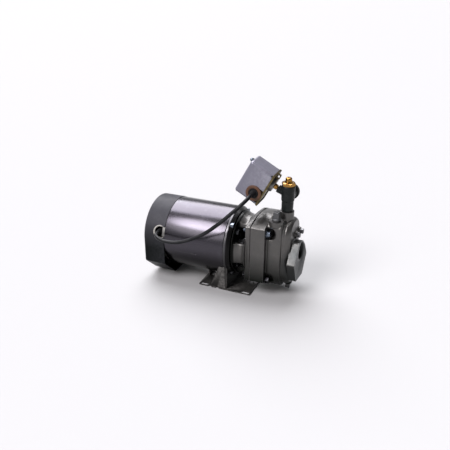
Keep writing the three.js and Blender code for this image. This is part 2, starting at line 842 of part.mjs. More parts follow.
// ---- Foot ----
function foot() {
  const half = 66;
  const thickness = 3;
  const floor = -shaftHeight;
  const tongueStation = 89; // the tongue is bent up out of the plate behind this station
  const tongueHalf = 15;
  const outline = new THREE.Shape();
  outline.moveTo(-half, -half);
  [-37, -18].forEach((x) => {
    outline.lineTo(x - 4, -half);
    outline.absarc(x, -half, 4, Math.PI, 0, true);
  });
  outline.lineTo(half, -half);
  outline.lineTo(half, half);
  [-18, -37].forEach((x) => {
    outline.lineTo(x + 4, half);
    outline.absarc(x, half, 4, 0, Math.PI, true);
  });
  outline.lineTo(-half, half);
  [-53, 53].forEach((x) => {
    [-60, 60].forEach((y) => {
      const slot = new THREE.Path();
      slot.moveTo(x - 5.5, y - 5);
      slot.lineTo(x + 5.5, y - 5);
      slot.absarc(x + 5.5, y, 5, -Math.PI / 2, Math.PI / 2);
      slot.lineTo(x - 5.5, y + 5);
      slot.absarc(x - 5.5, y, 5, Math.PI / 2, 1.5 * Math.PI);
      outline.holes.push(slot);
    });
  });
  const tongueStart = tongueStation - footStation;
  outline.holes.push(roundedRectangle(tongueStart, tongueStart + 17, -tongueHalf, tongueHalf, 1));
  const settings = { depth: thickness, bevelEnabled: false, curveSegments: 5 };
  const sheet = new THREE.ExtrudeGeometry(outline, settings);
  sheet.translate(footStation, 0, floor);
  const cradle = bar(60, 200, shellRadius + 0.8, 0, 0, 48);
  const saddleShape = new THREE.Shape();
  saddleShape.moveTo(-63, floor + 1);
  saddleShape.lineTo(63, floor + 1);
  saddleShape.lineTo(77, -36);
  saddleShape.lineTo(-77, -36);
  const saddle = slab(saddleShape, 151.5, 154.5);
  const tongue = box(tongueStation - thickness, tongueStation, -tongueHalf, tongueHalf, floor + 1, -78);
  const gussetShape = new THREE.Shape();
  gussetShape.moveTo(111, 0);
  gussetShape.lineTo(154.5, 0);
  gussetShape.lineTo(161, 69);
  gussetShape.lineTo(141, 69);
  const gussets = [-1, 1].map((side) => {
    const geometry = new THREE.ExtrudeGeometry(gussetShape, { depth: 3, bevelEnabled: false });
    geometry.rotateX(Math.PI / 2);
    if (side > 0) geometry.translate(0, 3, 0);
    geometry.rotateX(-side * Math.atan2(13, 68));
    geometry.translate(0, side * 63, floor + 1);
    return solid(geometry);
  });
  const body = cut(join(saddle, tongue, ...gussets), cradle);
  add("foot", join(solid(sheet), body), footPaint);
}

motorShell();
motorEndCover();
rearEndBell();
frontEndBell();
throughBoltSet();
statorCore();
windings();
rotorParts();
bearings();
motorElectrics();
pumpBracket();
bracketScrewSet();
waterSlinger();
casingGasket();
pumpCasing();
casingBoltSet();
impeller();
jetParts();
shaftSeal();
plugs();
dischargeTee();
switchBase();
diaphragmHousing();
switchCover();
switchWorks();
switchCord();
foot();

export default pump;
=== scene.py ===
import json
import math

import bmesh
import bpy
from mathutils import Matrix, Vector


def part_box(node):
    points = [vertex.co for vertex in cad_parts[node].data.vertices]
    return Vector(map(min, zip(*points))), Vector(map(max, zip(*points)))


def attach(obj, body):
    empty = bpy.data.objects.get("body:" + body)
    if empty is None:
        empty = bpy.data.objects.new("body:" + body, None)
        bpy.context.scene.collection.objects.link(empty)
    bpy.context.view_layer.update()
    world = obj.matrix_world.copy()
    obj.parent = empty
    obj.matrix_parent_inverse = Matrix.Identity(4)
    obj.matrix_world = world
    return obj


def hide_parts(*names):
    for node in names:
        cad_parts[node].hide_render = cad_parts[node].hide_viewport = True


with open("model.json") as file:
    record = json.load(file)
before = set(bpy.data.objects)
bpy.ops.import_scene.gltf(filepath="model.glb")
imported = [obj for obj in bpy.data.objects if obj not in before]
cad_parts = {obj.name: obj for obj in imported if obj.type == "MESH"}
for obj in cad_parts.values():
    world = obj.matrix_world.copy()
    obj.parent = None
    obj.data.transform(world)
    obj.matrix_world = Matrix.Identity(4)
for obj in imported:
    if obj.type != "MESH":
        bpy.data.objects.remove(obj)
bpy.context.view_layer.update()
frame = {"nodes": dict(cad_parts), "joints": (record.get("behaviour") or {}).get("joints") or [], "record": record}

scene = bpy.context.scene

MM = 0.001
GAP = 0.3  # clearance that the frame keeps between touching pieces

# ---- The two local frames ----
shell_low, shell_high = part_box("motor_shell")
SHELL_RADIUS = (shell_high.z - shell_low.z) / 2 / MM
SHELL_LENGTH = (shell_high.x - shell_low.x) / MM
SHAFT_HEIGHT = (shell_high.z + shell_low.z) / 2
SHAFT = Matrix.Translation((shell_low.x, 0, SHAFT_HEIGHT)) @ Matrix.Scale(MM, 4)


def local_box(node):
    """Lowest and highest corners of a CAD node in the shaft frame, in millimetres."""
    low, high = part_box(node)
    return SHAFT.inverted() @ low, SHAFT.inverted() @ high


def local_centre(node):
    low, high = local_box(node)
    return (low + high) / 2


def local_centres(name, count):
    return [local_centre(f"{name}_{i}") for i in range(1, count + 1)]


def spot(station, y, z):
    """A point of the shaft frame, in the frame's metres."""
    return SHAFT @ Vector((station, y, z))


COVER_HALF_DEPTH = 26
COVER_MIDDLE = Vector((-0.75, 0, 29.65))  # middle of the switch cover, in the switch frame


def switch_frame():
    slide = next(joint for joint in frame["joints"] if joint["name"] == "switch_cover_slide")
    up = Vector(slide["axis"]).normalized()
    along = Vector((up.z, 0, -up.x))
    turn = Matrix((along, (0, 1, 0), up)).transposed().to_4x4()
    low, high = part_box("switch_cover")
    origin = (low + high) / 2 - turn @ (COVER_MIDDLE * MM)
    return Matrix.Translation(origin) @ turn @ Matrix.Scale(MM, 4)


SWITCH = switch_frame()

# ---- Camera ----
def camera():
    """The camera at the photograph's viewing angle."""
    azimuth, elevation, roll = (math.radians(angle) for angle in (23.137, 24.245, 0.334))
    place = (0.44084, -1.09285, 0.67436)
    level = Vector((math.cos(azimuth), math.sin(azimuth), 0))
    away = Vector((math.sin(azimuth), -math.cos(azimuth), 0))
    back = math.cos(elevation) * away + Vector((0, 0, math.sin(elevation)))
    upright = back.cross(level)
    right = math.cos(roll) * level + math.sin(roll) * upright
    up = -math.sin(roll) * level + math.cos(roll) * upright
    data = bpy.data.cameras.new("camera")
    data.sensor_width = 36
    data.lens = 43.1
    made = bpy.data.objects.new("camera", data)
    turn = Matrix((right, up, back)).transposed().to_4x4()
    made.matrix_world = Matrix.Translation(place) @ turn
    scene.collection.objects.link(made)
    scene.camera = made


camera()

# ---- Drawing solids ----
ACROSS = Matrix(((0, 0, 1), (1, 0, 0), (0, 1, 0)))  # outline in y, z; drawn out along x
UPRIGHT = Matrix.Identity(3)  # outline in x, y; drawn out along z
SIDEWAYS = Matrix(((0, 1, 0), (0, 0, 1), (1, 0, 0)))  # outline in z, x; drawn out along y


def closed(mesh):
    """An object of a mesh whose vertices are merged and whose faces are turned to point out."""
    shape = bmesh.new()
    shape.from_mesh(mesh)
    bmesh.ops.remove_doubles(shape, verts=shape.verts, dist=1e-4)
    bmesh.ops.recalc_face_normals(shape, faces=shape.faces)
    shape.to_mesh(mesh)
    shape.free()
    made = bpy.data.objects.new("solid", mesh)
    scene.collection.objects.link(made)
    return made


def solid(vertices, faces):
    mesh = bpy.data.meshes.new("solid")
    mesh.from_pydata(vertices, [], faces)
    return closed(mesh)


def arc(centre, radius, start, end, steps=24):
    """Points on an arc, angles in degrees."""
    turn = [math.radians(start + (end - start) * i / steps) for i in range(steps + 1)]
    return [(centre[0] + radius * math.cos(a), centre[1] + radius * math.sin(a)) for a in turn]


def rounded(corners, steps=6):
    """Outline through corners of (x, y, radius), each rounded to its radius."""
    outline = []
    for i, (x, y, radius) in enumerate(corners):
        here = Vector((x, y))
        if radius <= 0:
            outline.append((x, y))
            continue
        before = (Vector(corners[i - 1][:2]) - here).normalized()
        after = (Vector(corners[(i + 1) % len(corners)][:2]) - here).normalized()
        half = before.angle(after) / 2
        centre = here + (before + after).normalized() * (radius / math.sin(half))
        first = here + before * (radius / math.tan(half)) - centre
        last = here + after * (radius / math.tan(half)) - centre
        start = math.atan2(first.y, first.x)
        turn = math.remainder(math.atan2(last.y, last.x) - start, 2 * math.pi)
        for step in range(steps + 1):
            angle = start + turn * step / steps
            outline.append((centre.x + radius * math.cos(angle), centre.y + radius * math.sin(angle)))
    return outline


def rectangle(x0, x1, y0, y1, radius=0, steps=6):
    corners = [(x0, y0, radius), (x1, y0, radius), (x1, y1, radius), (x0, y1, radius)]
    return rounded(corners, steps)


def loft(sections, basis=ACROSS):
    """A solid through sections of (distance, outline), whose outlines have equally many points."""
    count = len(sections[0][1])
    vertices = [basis @ Vector((u, v, w)) for w, outline in sections for u, v in outline]
    faces = [tuple(range(count)), tuple(range(len(vertices) - count, len(vertices)))]
    for first in range(0, len(vertices) - count, count):
        for i in range(count):
            j = (i + 1) % count
            faces.append((first + i, first + j, first + count + j, first + count + i))
    return solid(vertices, faces)


def prism(outline, start, end, basis=ACROSS):
    """An outline drawn out from start to end."""
    return loft([(start, outline), (end, outline)], basis)


def turned(profile, segments=128, y=0, z=0, basis=ACROSS):
    """A closed profile of (distance, radius) turned about an axis through y, z of the outline's plane."""
    count = len(profile)
    vertices = []
    for k in range(segments):
        angle = 2 * math.pi * k / segments
        for distance, radius in profile:
            point = Vector((y + radius * math.cos(angle), z + radius * math.sin(angle), distance))
            vertices.append(basis @ point)
    faces = []
    for k in range(segments):
        here, there = k * count, (k + 1) % segments * count
        for i in range(count):
            j = (i + 1) % count
            if profile[i][1] == 0 and profile[j][1] == 0:
                continue
            faces.append((here + i, here + j, there + j, there + i))
    return solid(vertices, faces)


def rod(start, end, radius, y=0, z=0, basis=ACROSS, segments=64, edge=0):
    """A round bar whose end edges are rounded by edge."""
    profile = [(start, 0, 0), (start, radius, edge), (end, radius, edge), (end, 0, 0)]
    return turned(rounded(profile, 3), segments, y, z, basis)


def box(x0, x1, y0, y1, z0, z1):
    return prism(rectangle(x0, x1, y0, y1), z0, z1, UPRIGHT)


def settle(piece):
    """Applies a piece's modifiers."""
    bpy.context.view_layer.update()
    graph = bpy.context.evaluated_depsgraph_get()
    mesh = bpy.data.meshes.new_from_object(piece.evaluated_get(graph))
    piece.modifiers.clear()
    piece.data = mesh
    return piece


def combine(base, tools, operation):
    for tool in tools:
        step = base.modifiers.new(operation, "BOOLEAN")
        step.operation = operation
        step.solver = "MANIFOLD"
        step.object = tool
    settle(base)
    for tool in tools:
        bpy.data.objects.remove(tool)
    return base


def join(base, *tools):
    return combine(base, tools, "UNION")


def cut(base, *tools):
    return combine(base, tools, "DIFFERENCE")


def common(base, *tools):
    return combine(base, tools, "INTERSECT")


def cast(piece, grain=1.0, rounds=6):
    """Gives a solid the soft edges and fillets of a casting."""
    mesh = piece.modifiers.new("grain", "REMESH")
    mesh.mode = "VOXEL"
    mesh.voxel_size = grain
    soften = piece.modifiers.new("soften", "SMOOTH")
    soften.factor = 0.5
    soften.iterations = rounds
    return settle(piece)


def round_edges(piece, width, segments=3, where=None, least=30):
    """Rounds the edges that turn by more than least degrees and whose middles pass the test where."""
    shape = bmesh.new()
    shape.from_mesh(piece.data)
    bmesh.ops.remove_doubles(shape, verts=shape.verts, dist=1e-4)
    flat = math.radians(0.5)
    bmesh.ops.dissolve_limit(shape, angle_limit=flat, verts=shape.verts, edges=shape.edges)
    chosen = [
        edge
        for edge in shape.edges
        if len(edge.link_faces) == 2
        and edge.calc_face_angle(0) > math.radians(least)
        and (where is None or where((edge.verts[0].co + edge.verts[1].co) / 2))
    ]
    settings = {"segments": segments, "profile": 0.5, "affect": "EDGES", "clamp_overlap": True}
    bmesh.ops.bevel(shape, geom=chosen, offset=width, **settings)
    shape.to_mesh(piece.data)
    shape.free()
    return piece


def sweep(points, radius, segments=12):
    """A closed round tube through points, with flat ends."""
    curve = bpy.data.curves.new("sweep", "CURVE")
    curve.dimensions = "3D"
    curve.bevel_depth = radius
    curve.bevel_resolution = segments // 2
    curve.use_fill_caps = True
    line = curve.splines.new("POLY")
    line.points.add(len(points) - 1)
    for place, point in zip(line.points, points):
        place.co = (*point, 1)
    made = bpy.data.objects.new("sweep", curve)
    scene.collection.objects.link(made)
    bpy.context.view_layer.update()
    graph = bpy.context.evaluated_depsgraph_get()
    mesh = bpy.data.meshes.new_from_object(made.evaluated_get(graph))
    bpy.data.objects.remove(made)
    return closed(mesh)


# ---- Materials ----
SLOT_OF = {row["node"]: row["material_slot"] for row in frame["record"]["subparts"]}
BODY_OF = {
    node: body for body, nodes in frame["record"]["behaviour"]["bodies"].items() for node in nodes
}
materials = {}


class Surface:
    """A Principled material whose colour, roughness and relief come from noise in the piece's own space."""

    def __init__(self, color, metallic=0.0):
        self.material = bpy.data.materials.new("surface")
        self.material.use_nodes = True
        self.nodes = self.material.node_tree.nodes
        self.links = self.material.node_tree.links
        self.shader = self.nodes["Principled BSDF"]
        self.shader.inputs["Metallic"].default_value = metallic
        self.place = self.nodes.new("ShaderNodeTexCoord").outputs["Object"]
        base = self.nodes.new("ShaderNodeRGB")
        base.outputs[0].default_value = (*color, 1)
        self.color = base.outputs[0]
        self.height = None

    def node(self, kind, inputs):
        """A shader node whose inputs are set to values or linked to other nodes' outputs."""
        made = self.nodes.new("ShaderNode" + kind)
        for socket, value in inputs.items():
            if isinstance(value, bpy.types.NodeSocket):
                self.links.new(value, made.inputs[socket])
            else:
                made.inputs[socket].default_value = value
        return made

    def noise(self, size, detail=4, stretch=(1, 1, 1)):
        """Noise whose blotches are about size metres across."""
        scaled = self.node("Mapping", {"Vector": self.place, "Scale": stretch}).outputs[0]
        made = self.node("TexNoise", {"Vector": scaled, "Scale": 1 / size, "Detail": detail})
        return made.outputs["Fac"]

    def mapped(self, value, low, high, to_low=0.0, to_high=1.0):
        limits = {"From Min": low, "From Max": high, "To Min": to_low, "To Max": to_high}
        return self.node("MapRange", {"Value": value, **limits}).outputs["Result"]

    def times(self, first, second):
        made = self.node("Math", {0: first, 1: second})
        made.operation = "MULTIPLY"
        return made.outputs[0]

    def shorter(self, vector, radius, soft):
        """High where a vector in metres is shorter than a radius in millimetres."""
        length = self.node("VectorMath", {0: vector})
        length.operation = "LENGTH"
        return self.mapped(length.outputs["Value"], (radius + soft) * MM, radius * MM)

    def tint(self, color, share):
        """Mixes another colour in where share is high."""
        made = self.nodes.new("ShaderNodeMix")
        made.data_type = "RGBA"
        self.links.new(share, made.inputs["Factor"])
        self.links.new(self.color, made.inputs[6])
        made.inputs[7].default_value = (*color, 1)
        self.color = made.outputs[2]
        return self

    def blotches(self, color, size, low=0.45, high=0.7, strength=1.0, stretch=(1, 1, 1)):
        return self.tint(color, self.mapped(self.noise(size, 4, stretch), low, high, 0, strength))

    def painted_underside_shade(self, color, top, bottom):
        """Painted shade: turns to another, darker colour between two heights in metres, so a piece darkens towards
        its underside.
        """
        split = self.node("SeparateXYZ", {0: self.place})
        return self.tint(color, self.mapped(split.outputs["Z"], top, bottom))

    def painted_inner_shade(self, color, radius, station):
        """Painted shade: darkens what lies within a radius of the shaft's axis and behind a station, in
        millimetres.
        """
        offset = self.node("VectorMath", {0: self.place, 1: (0, 1, 1), 2: (0, 0, -SHAFT_HEIGHT)})
        offset.operation = "MULTIPLY_ADD"
        split = self.node("SeparateXYZ", {0: self.place})
        end = spot(station, 0, 0).x
        behind = self.mapped(split.outputs["X"], end + 3 * MM, end)
        return self.tint(color, self.times(self.shorter(offset.outputs[0], radius, 3), behind))

    def painted_light_or_shade_spot(self, color, point, radius, soft):
        """Painted highlight or painted shade, by the colour given: turns to another colour around a point of the
        shaft frame, in millimetres.
        """
        offset = self.node("VectorMath", {0: self.place, 1: spot(*point)})
        offset.operation = "SUBTRACT"
        return self.tint(color, self.shorter(offset.outputs[0], radius, soft))

    def edge_wear(self, color, strength, low=0.52, high=0.62):
        """Wear on raised edges, broken up by noise."""
        raised = self.nodes.new("ShaderNodeNewGeometry").outputs["Pointiness"]
        patchy = self.mapped(self.noise(0.006), 0.35, 0.65, 0.3, 1)
        return self.tint(color, self.times(self.mapped(raised, low, high, 0, strength), patchy))

    def set_roughness(self, middle, spread, size, stretch=(1, 1, 1)):
        value = self.mapped(self.noise(size, 3, stretch), 0.3, 0.7, middle - spread, middle + spread)
        self.links.new(value, self.shader.inputs["Roughness"])
        return self

    def relief(self, size, depth, detail=3, stretch=(1, 1, 1)):
        """Bumps of a given size and depth, in metres. Calls add up."""
        height = self.noise(size, detail, stretch)
        bump = self.node("Bump", {"Strength": 1.0, "Distance": depth, "Height": height})
        if self.height is not None:
            self.links.new(self.height, bump.inputs["Normal"])
        self.height = bump.outputs["Normal"]
        return self

    def gloss(self, level):
        self.shader.inputs["Specular IOR Level"].default_value = level
        return self

    def done(self):
        self.links.new(self.color, self.shader.inputs["Base Color"])
        if self.height is not None:
            self.links.new(self.height, self.shader.inputs["Normal"])
        return self.material


def motor_enamel():
    made = Surface((0.062, 0.058, 0.068), 1.0)
    made.blotches((0.052, 0.048, 0.052), 0.05, stretch=(0.3, 1, 1), strength=0.6)
    made.blotches((0.078, 0.075, 0.082), 0.012, 0.55, 0.75, 0.4)
    # Painted shade: the shell darkens towards its underside.
    made.painted_underside_shade((0.008, 0.008, 0.008), 0.105, 0.05)
    made.edge_wear((0.2, 0.2, 0.2), 0.5, 0.53)
    made.set_roughness(0.24, 0.04, 0.03, (0.2, 1, 1))
    return made.relief(0.0009, 0.000008).relief(0.02, 0.00006, 2, (0.3, 1, 1)).done()


def ring_enamel():
    made = Surface((0.070, 0.068, 0.072), 0.8)
    made.blotches((0.055, 0.053, 0.057), 0.02, strength=0.6)
    # Painted shade: the ring darkens towards its underside.
    made.painted_underside_shade((0.015, 0.015, 0.015), 0.12, 0.05)
    # Painted shade on the ring's inner parts, around the shaft's axis.
    made.painted_inner_shade((0.004, 0.004, 0.004), 81, 170)
    made.edge_wear((0.25, 0.25, 0.25), 0.6, 0.53, 0.6)
    made.set_roughness(0.34, 0.06, 0.01)
    return made.relief(0.0012, 0.00002).done()


def cover_plastic():
    made = Surface((0.034, 0.034, 0.039))
    made.blotches((0.044, 0.044, 0.051), 0.03, strength=0.6)
    # Painted shade: the cover darkens towards its underside.
    made.painted_underside_shade((0.002, 0.003, 0.003), 0.145, 0.085)
    made.edge_wear((0.08, 0.08, 0.09), 0.5, 0.53)
    grip = local_centre("motor_cord_grip")
    made.painted_light_or_shade_spot((0.30, 0.29, 0.27), (grip.x + 2, -82, grip.z), 16, 1)  # painted highlight on the rim of the cord notch
    made.set_roughness(0.42, 0.06, 0.02)
    return made.relief(0.0007, 0.00003, 2).relief(0.03, 0.00008, 1).gloss(0.06).done()


def cast_iron():
    made = Surface((0.096, 0.093, 0.089), 0.85)
    made.blotches((0.118, 0.114, 0.107), 0.025, strength=0.6)
    made.blotches((0.080, 0.080, 0.082), 0.008, 0.5, 0.75, 0.5)
    # Painted shade: the casting darkens towards its underside.
    made.painted_underside_shade((0.004, 0.006, 0.004), 0.11, 0.038)
    made.edge_wear((0.28, 0.27, 0.28), 0.6, high=0.6)
    # Painted shade inside the bracket and on its motor-side flange, around the shaft's axis.
    made.painted_inner_shade((0.004, 0.0045, 0.004), 62, 199)
    made.painted_inner_shade((0.004, 0.0045, 0.004), 90, 174)
    # Painted shade on the front face of the suction nose.
    nose_face = local_box("pump_casing")[1].x
    made.painted_light_or_shade_spot((0.030, 0.033, 0.033), (nose_face, 0, -18), 46, 16)
    made.set_roughness(0.36, 0.06, 0.012)
    made.relief(0.0014, 0.00007, 4).relief(0.006, 0.00014, 3).relief(0.03, 0.0003, 2)
    return made.gloss(0.4).done()


def cast_plug():
    made = Surface((0.060, 0.062, 0.066), 0.4)
    made.blotches((0.085, 0.083, 0.08), 0.006, strength=0.6)
    made.blotches((0.07, 0.045, 0.03), 0.004, 0.58, 0.75, 0.5)
    made.edge_wear((0.2, 0.2, 0.21), 0.8, high=0.6)
    made.set_roughness(0.42, 0.1, 0.004)
    return made.relief(0.0012, 0.00006, 4).done()


def zinc_bolt():
    made = Surface((0.10, 0.12, 0.15), 0.9)
    made.blotches((0.07, 0.085, 0.12), 0.005, strength=0.7)
    made.blotches((0.10, 0.09, 0.075), 0.003, 0.6, 0.78, 0.5)
    # Painted shade: the bolts darken towards the underside.
    made.painted_underside_shade((0.006, 0.006, 0.007), 0.085, 0.055)
    # Painted shade on the screws inside the bracket.
    made.painted_inner_shade((0.006, 0.006, 0.006), 68, 190)
    made.edge_wear((0.3, 0.31, 0.33), 0.6)
    made.set_roughness(0.3, 0.09, 0.003)
    return made.relief(0.0008, 0.00002, 3).done()


def steel():
    made = Surface((0.50, 0.50, 0.52), 1.0)
    made.blotches((0.38, 0.38, 0.39), 0.01, stretch=(6, 1, 1), strength=0.6)
    made.edge_wear((0.72, 0.72, 0.73), 0.5)
    made.set_roughness(0.3, 0.08, 0.004, (8, 1, 1))
    return made.relief(0.0006, 0.00001, 2, (6, 1, 1)).done()


def aluminium():
    made = Surface((0.20, 0.195, 0.185), 0.9)
    made.blotches((0.13, 0.125, 0.115), 0.012, strength=0.6)
    made.edge_wear((0.4, 0.4, 0.4), 0.5)
    made.set_roughness(0.42, 0.08, 0.006)
    return made.relief(0.0016, 0.00005, 4).done()


def copper():
    made = Surface((0.50, 0.19, 0.08), 0.7)
    made.blotches((0.30, 0.09, 0.035), 0.006, stretch=(4, 1, 1), strength=0.8)
    made.set_roughness(0.35, 0.08, 0.004)
    return made.relief(0.0018, 0.0004, 2, (2.5, 1, 1)).done()


def brass():
    made = Surface((0.30, 0.155, 0.035), 1.0)
    made.blotches((0.17, 0.085, 0.02), 0.006, strength=0.7)
    made.blotches((0.10, 0.055, 0.02), 0.004, 0.6, 0.8, 0.5)
    made.edge_wear((0.5, 0.33, 0.13), 0.7)
    made.set_roughness(0.24, 0.08, 0.004)
    return made.relief(0.0008, 0.00002, 2).done()


def black_iron():
    made = Surface((0.006, 0.008, 0.008), 0.1)
    made.blotches((0.012, 0.014, 0.014), 0.01, strength=0.7)
    made.blotches((0.025, 0.016, 0.010), 0.004, 0.62, 0.78, 0.4)
    made.edge_wear((0.05, 0.05, 0.05), 0.7, high=0.6)
    made.set_roughness(0.36, 0.09, 0.006)
    return made.relief(0.0011, 0.00008, 4).relief(0.005, 0.00012, 2).gloss(0.2).done()


def rubber():
    made = Surface((0.007, 0.007, 0.008))
    made.blotches((0.014, 0.014, 0.015), 0.006, strength=0.6)
    made.set_roughness(0.55, 0.08, 0.004)
    return made.relief(0.0006, 0.00003, 2).gloss(0.15).done()


def cord_jacket():
    made = Surface((0.006, 0.0065, 0.0075))
    made.blotches((0.014, 0.014, 0.016), 0.02, strength=0.6)
    made.set_roughness(0.36, 0.06, 0.01)
    return made.relief(0.0008, 0.000015, 2).relief(0.012, 0.00008, 1).gloss(0.14).done()


def ceramic():
    made = Surface((0.80, 0.78, 0.72))
    made.blotches((0.68, 0.66, 0.60), 0.004, strength=0.5)
    return made.set_roughness(0.2, 0.05, 0.003).relief(0.001, 0.000006, 2).done()


def gasket_fibre():
    made = Surface((0.018, 0.015, 0.013))
    made.blotches((0.035, 0.028, 0.022), 0.002, strength=0.8)
    return made.set_roughness(0.75, 0.1, 0.002).relief(0.0008, 0.00008, 4).done()


def conduit_fibre():
    made = Surface((0.085, 0.034, 0.014))
    made.blotches((0.045, 0.018, 0.009), 0.003, strength=0.8)
    made.edge_wear((0.2, 0.1, 0.05), 0.6)
    return made.set_roughness(0.5, 0.1, 0.002).relief(0.0007, 0.00004, 3).done()


def moulded_plastic():
    made = Surface((0.70, 0.65, 0.54))
    made.blotches((0.60, 0.55, 0.44), 0.012, strength=0.6)
    made.edge_wear((0.80, 0.77, 0.68), 0.5)
    return made.set_roughness(0.42, 0.07, 0.006).relief(0.0009, 0.00002, 3).done()


def switch_paint():
    made = Surface((0.165, 0.162, 0.200), 0.5)
    made.blotches((0.150, 0.147, 0.182), 0.02, strength=0.5)
    made.blotches((0.175, 0.172, 0.212), 0.006, 0.55, 0.75, 0.3)
    made.edge_wear((0.3, 0.295, 0.34), 0.6, high=0.6)
    made.set_roughness(0.34, 0.03, 0.012)
    return made.relief(0.0011, 0.000006, 2).done()


def chromate():
    made = Surface((0.060, 0.045, 0.018), 0.85)
    made.blotches((0.028, 0.026, 0.013), 0.008, strength=0.8)
    made.blotches((0.16, 0.085, 0.05), 0.005, 0.58, 0.75, 0.5)
    made.edge_wear((0.22, 0.18, 0.09), 0.6)
    return made.set_roughness(0.34, 0.08, 0.004).relief(0.001, 0.00002, 2).done()


def foot_paint():
    made = Surface((0.012, 0.012, 0.011))
    made.blotches((0.028, 0.027, 0.025), 0.018, strength=0.7)
    made.blotches((0.045, 0.037, 0.030), 0.004, 0.62, 0.8, 0.5)
    made.edge_wear((0.12, 0.115, 0.11), 0.8, high=0.6)
    made.set_roughness(0.42, 0.08, 0.008)
    return made.relief(0.001, 0.00003, 3).relief(0.012, 0.00006, 2).gloss(0.2).done()


MAKERS = [
    motor_enamel, ring_enamel, cover_plastic, cast_iron, cast_plug, zinc_bolt, steel, aluminium,
    copper, brass, black_iron, rubber, cord_jacket, ceramic, gasket_fibre, conduit_fibre,
    moulded_plastic, switch_paint, chromate, foot_paint,
]
for maker in MAKERS:
    name = maker.__name__
    materials[name] = maker()
    materials[name].name = name


# ---- Putting pieces in place ----
def finish(piece, node, local=SHAFT, sharp=32):
    """Places a piece drawn in millimetres, gives it its node's finish and lets it stand for the node."""
    piece.name = f"{node}_shape"
    piece.data.name = piece.name
    piece.data.transform(local)
    piece.data.shade_smooth()
    piece.data.set_sharp_from_angle(angle=math.radians(sharp))
    piece.data.materials.clear()
    piece.data.materials.append(materials[SLOT_OF[node]])
    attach(piece, BODY_OF[node])
    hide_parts(node)


# ---- Lead from the motor to the switch ----
# Its route in the shaft frame.
CORD_ROUTE = [
    (-15, -81.3, 25),
    (-15, -89, 24.9),
    (-12.5, -98, 24.3),
    (-5, -107, 23.5),
    (8, -113.5, 22.5),
    (26, -116, 22),
    (47, -116, 24),
    (70, -114, 30.5),
    (95, -110, 42),
    (118, -105, 55.5),
    (139, -99.5, 72.5),
    (157, -94, 89),
    (172, -87, 104),
    (184, -80, 116),
    (194, -71, 126.5),
    (200.5, -62, 134),
    (202.8, -53, 137.8),
    (203, -44.3, 138.2),
]
CORD_RADIUS = 4.3


def lead():
    curve = bpy.data.curves.new("switch_lead", "CURVE")
    curve.dimensions = "3D"
    curve.resolution_u = 10
    curve.bevel_depth = CORD_RADIUS * MM
    curve.bevel_resolution = 8
    curve.use_fill_caps = True
    line = curve.splines.new("BEZIER")
    line.bezier_points.add(len(CORD_ROUTE) - 1)
    for place, point in zip(line.bezier_points, CORD_ROUTE):
        place.co = spot(*point)
        place.handle_left_type = "AUTO"
        place.handle_right_type = "AUTO"
    made = bpy.data.objects.new("switch_lead", curve)
    scene.collection.objects.link(made)
    curve.materials.append(materials["cord_jacket"])
    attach(made, "frame")
    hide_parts("switch_cord")


lead()


# ---- Shared shapes ----
def ball(centre, radius):
    profile = arc((centre.x, 0), radius, 180, 0, 24)
    profile[0] = (centre.x - radius, 0)
    profile[-1] = (centre.x + radius, 0)
    return turned(profile, 48, centre.y, centre.z)


def hexagon(radius, y=0, z=0, turn=0):
    return arc((y, z), radius, turn, turn + 300, 5)


def hex_head(start, end, radius, y=0, z=0, basis=ACROSS, turn=0, both=False):
    """A hexagon whose corners are turned off at its outer end, or at both ends."""
    corner = 0.12 * radius
    lift = math.copysign(0.07 * radius, end - start)
    profile = [(start, 0), (start, radius)]
    if both:
        profile = [(start, 0), (start, radius - corner), (start + lift, radius)]
    profile += [(end - lift, radius), (end, radius - corner), (end, 0)]
    blank = prism(hexagon(radius, y, z, turn), min(start, end), max(start, end), basis)
    return common(blank, turned(profile, 96, y, z, basis))


def threaded(start, end, radius, depth, pitch, y=0, z=0, basis=ACROSS):
    """A bar with thread grooves, which is also the tool for a threaded bore."""
    turns = max(1, int(abs(end - start) / pitch))
    pitch = (end - start) / turns
    profile = [(start, 0)]
    for i in range(turns):
        profile.append((start + (i + 0.05) * pitch, radius - depth))
        profile.append((start + (i + 0.42) * pitch, radius))
        profile.append((start + (i + 0.62) * pitch, radius))
    profile.append((end, radius - depth))
    profile.append((end, 0))
    return turned(profile, 96, y, z, basis)


def bolt(node, head, shank, turn):
    """A hexagon-headed bolt where a CAD node is; head and shank are each (start, end, radius)."""
    at = local_centre(node)
    top = hex_head(*head, at.y, at.z, turn=turn)
    finish(join(top, rod(*shank, at.y, at.z)), node)


# ---- Motor ----
def motor_shell():
    """The rolled shell, with the small dimple in its near side."""
    wall = 3
    profile = [
        (0, SHELL_RADIUS - wall, 0.5),
        (0, SHELL_RADIUS, 1),
        (SHELL_LENGTH, SHELL_RADIUS, 1),
        (SHELL_LENGTH, SHELL_RADIUS - wall, 0.5),
    ]
    shell = turned(rounded(profile, 4), 256)
    outwards = Vector((0, -82.8, -13.9)).normalized()
    dimple = ball(Vector((83.2, 0, 0)) + outwards * (SHELL_RADIUS + 2.4), 4)
    finish(cut(shell, dimple), "motor_shell", sharp=25)


COVER_LENGTH = -local_box("motor_end_cover")[0].x
COVER_RADIUS = local_box("motor_end_cover")[1].z
COVER_BOTTOM = local_box("motor_end_cover")[0].z
CORD_EXIT = Vector(CORD_ROUTE[0])
NOTCH_RADIUS = 12.5
NOTCH_MIDDLE = CORD_EXIT.x + 2


def cover_outline(radius, side, bottom, half_flat, bend):
    """Section of the motor's end cover: round on top, straight sides, sloping in to a flat bottom."""
    lower = [
        (-radius, 0, 0),
        (-radius, side, bend),
        (-half_flat, bottom, bend),
        (half_flat, bottom, bend),
        (radius, side, bend),
        (radius, 0, 0),
    ]
    return arc((0, 0), radius, 0, 180, 96) + rounded(lower, 6)[1:-1]


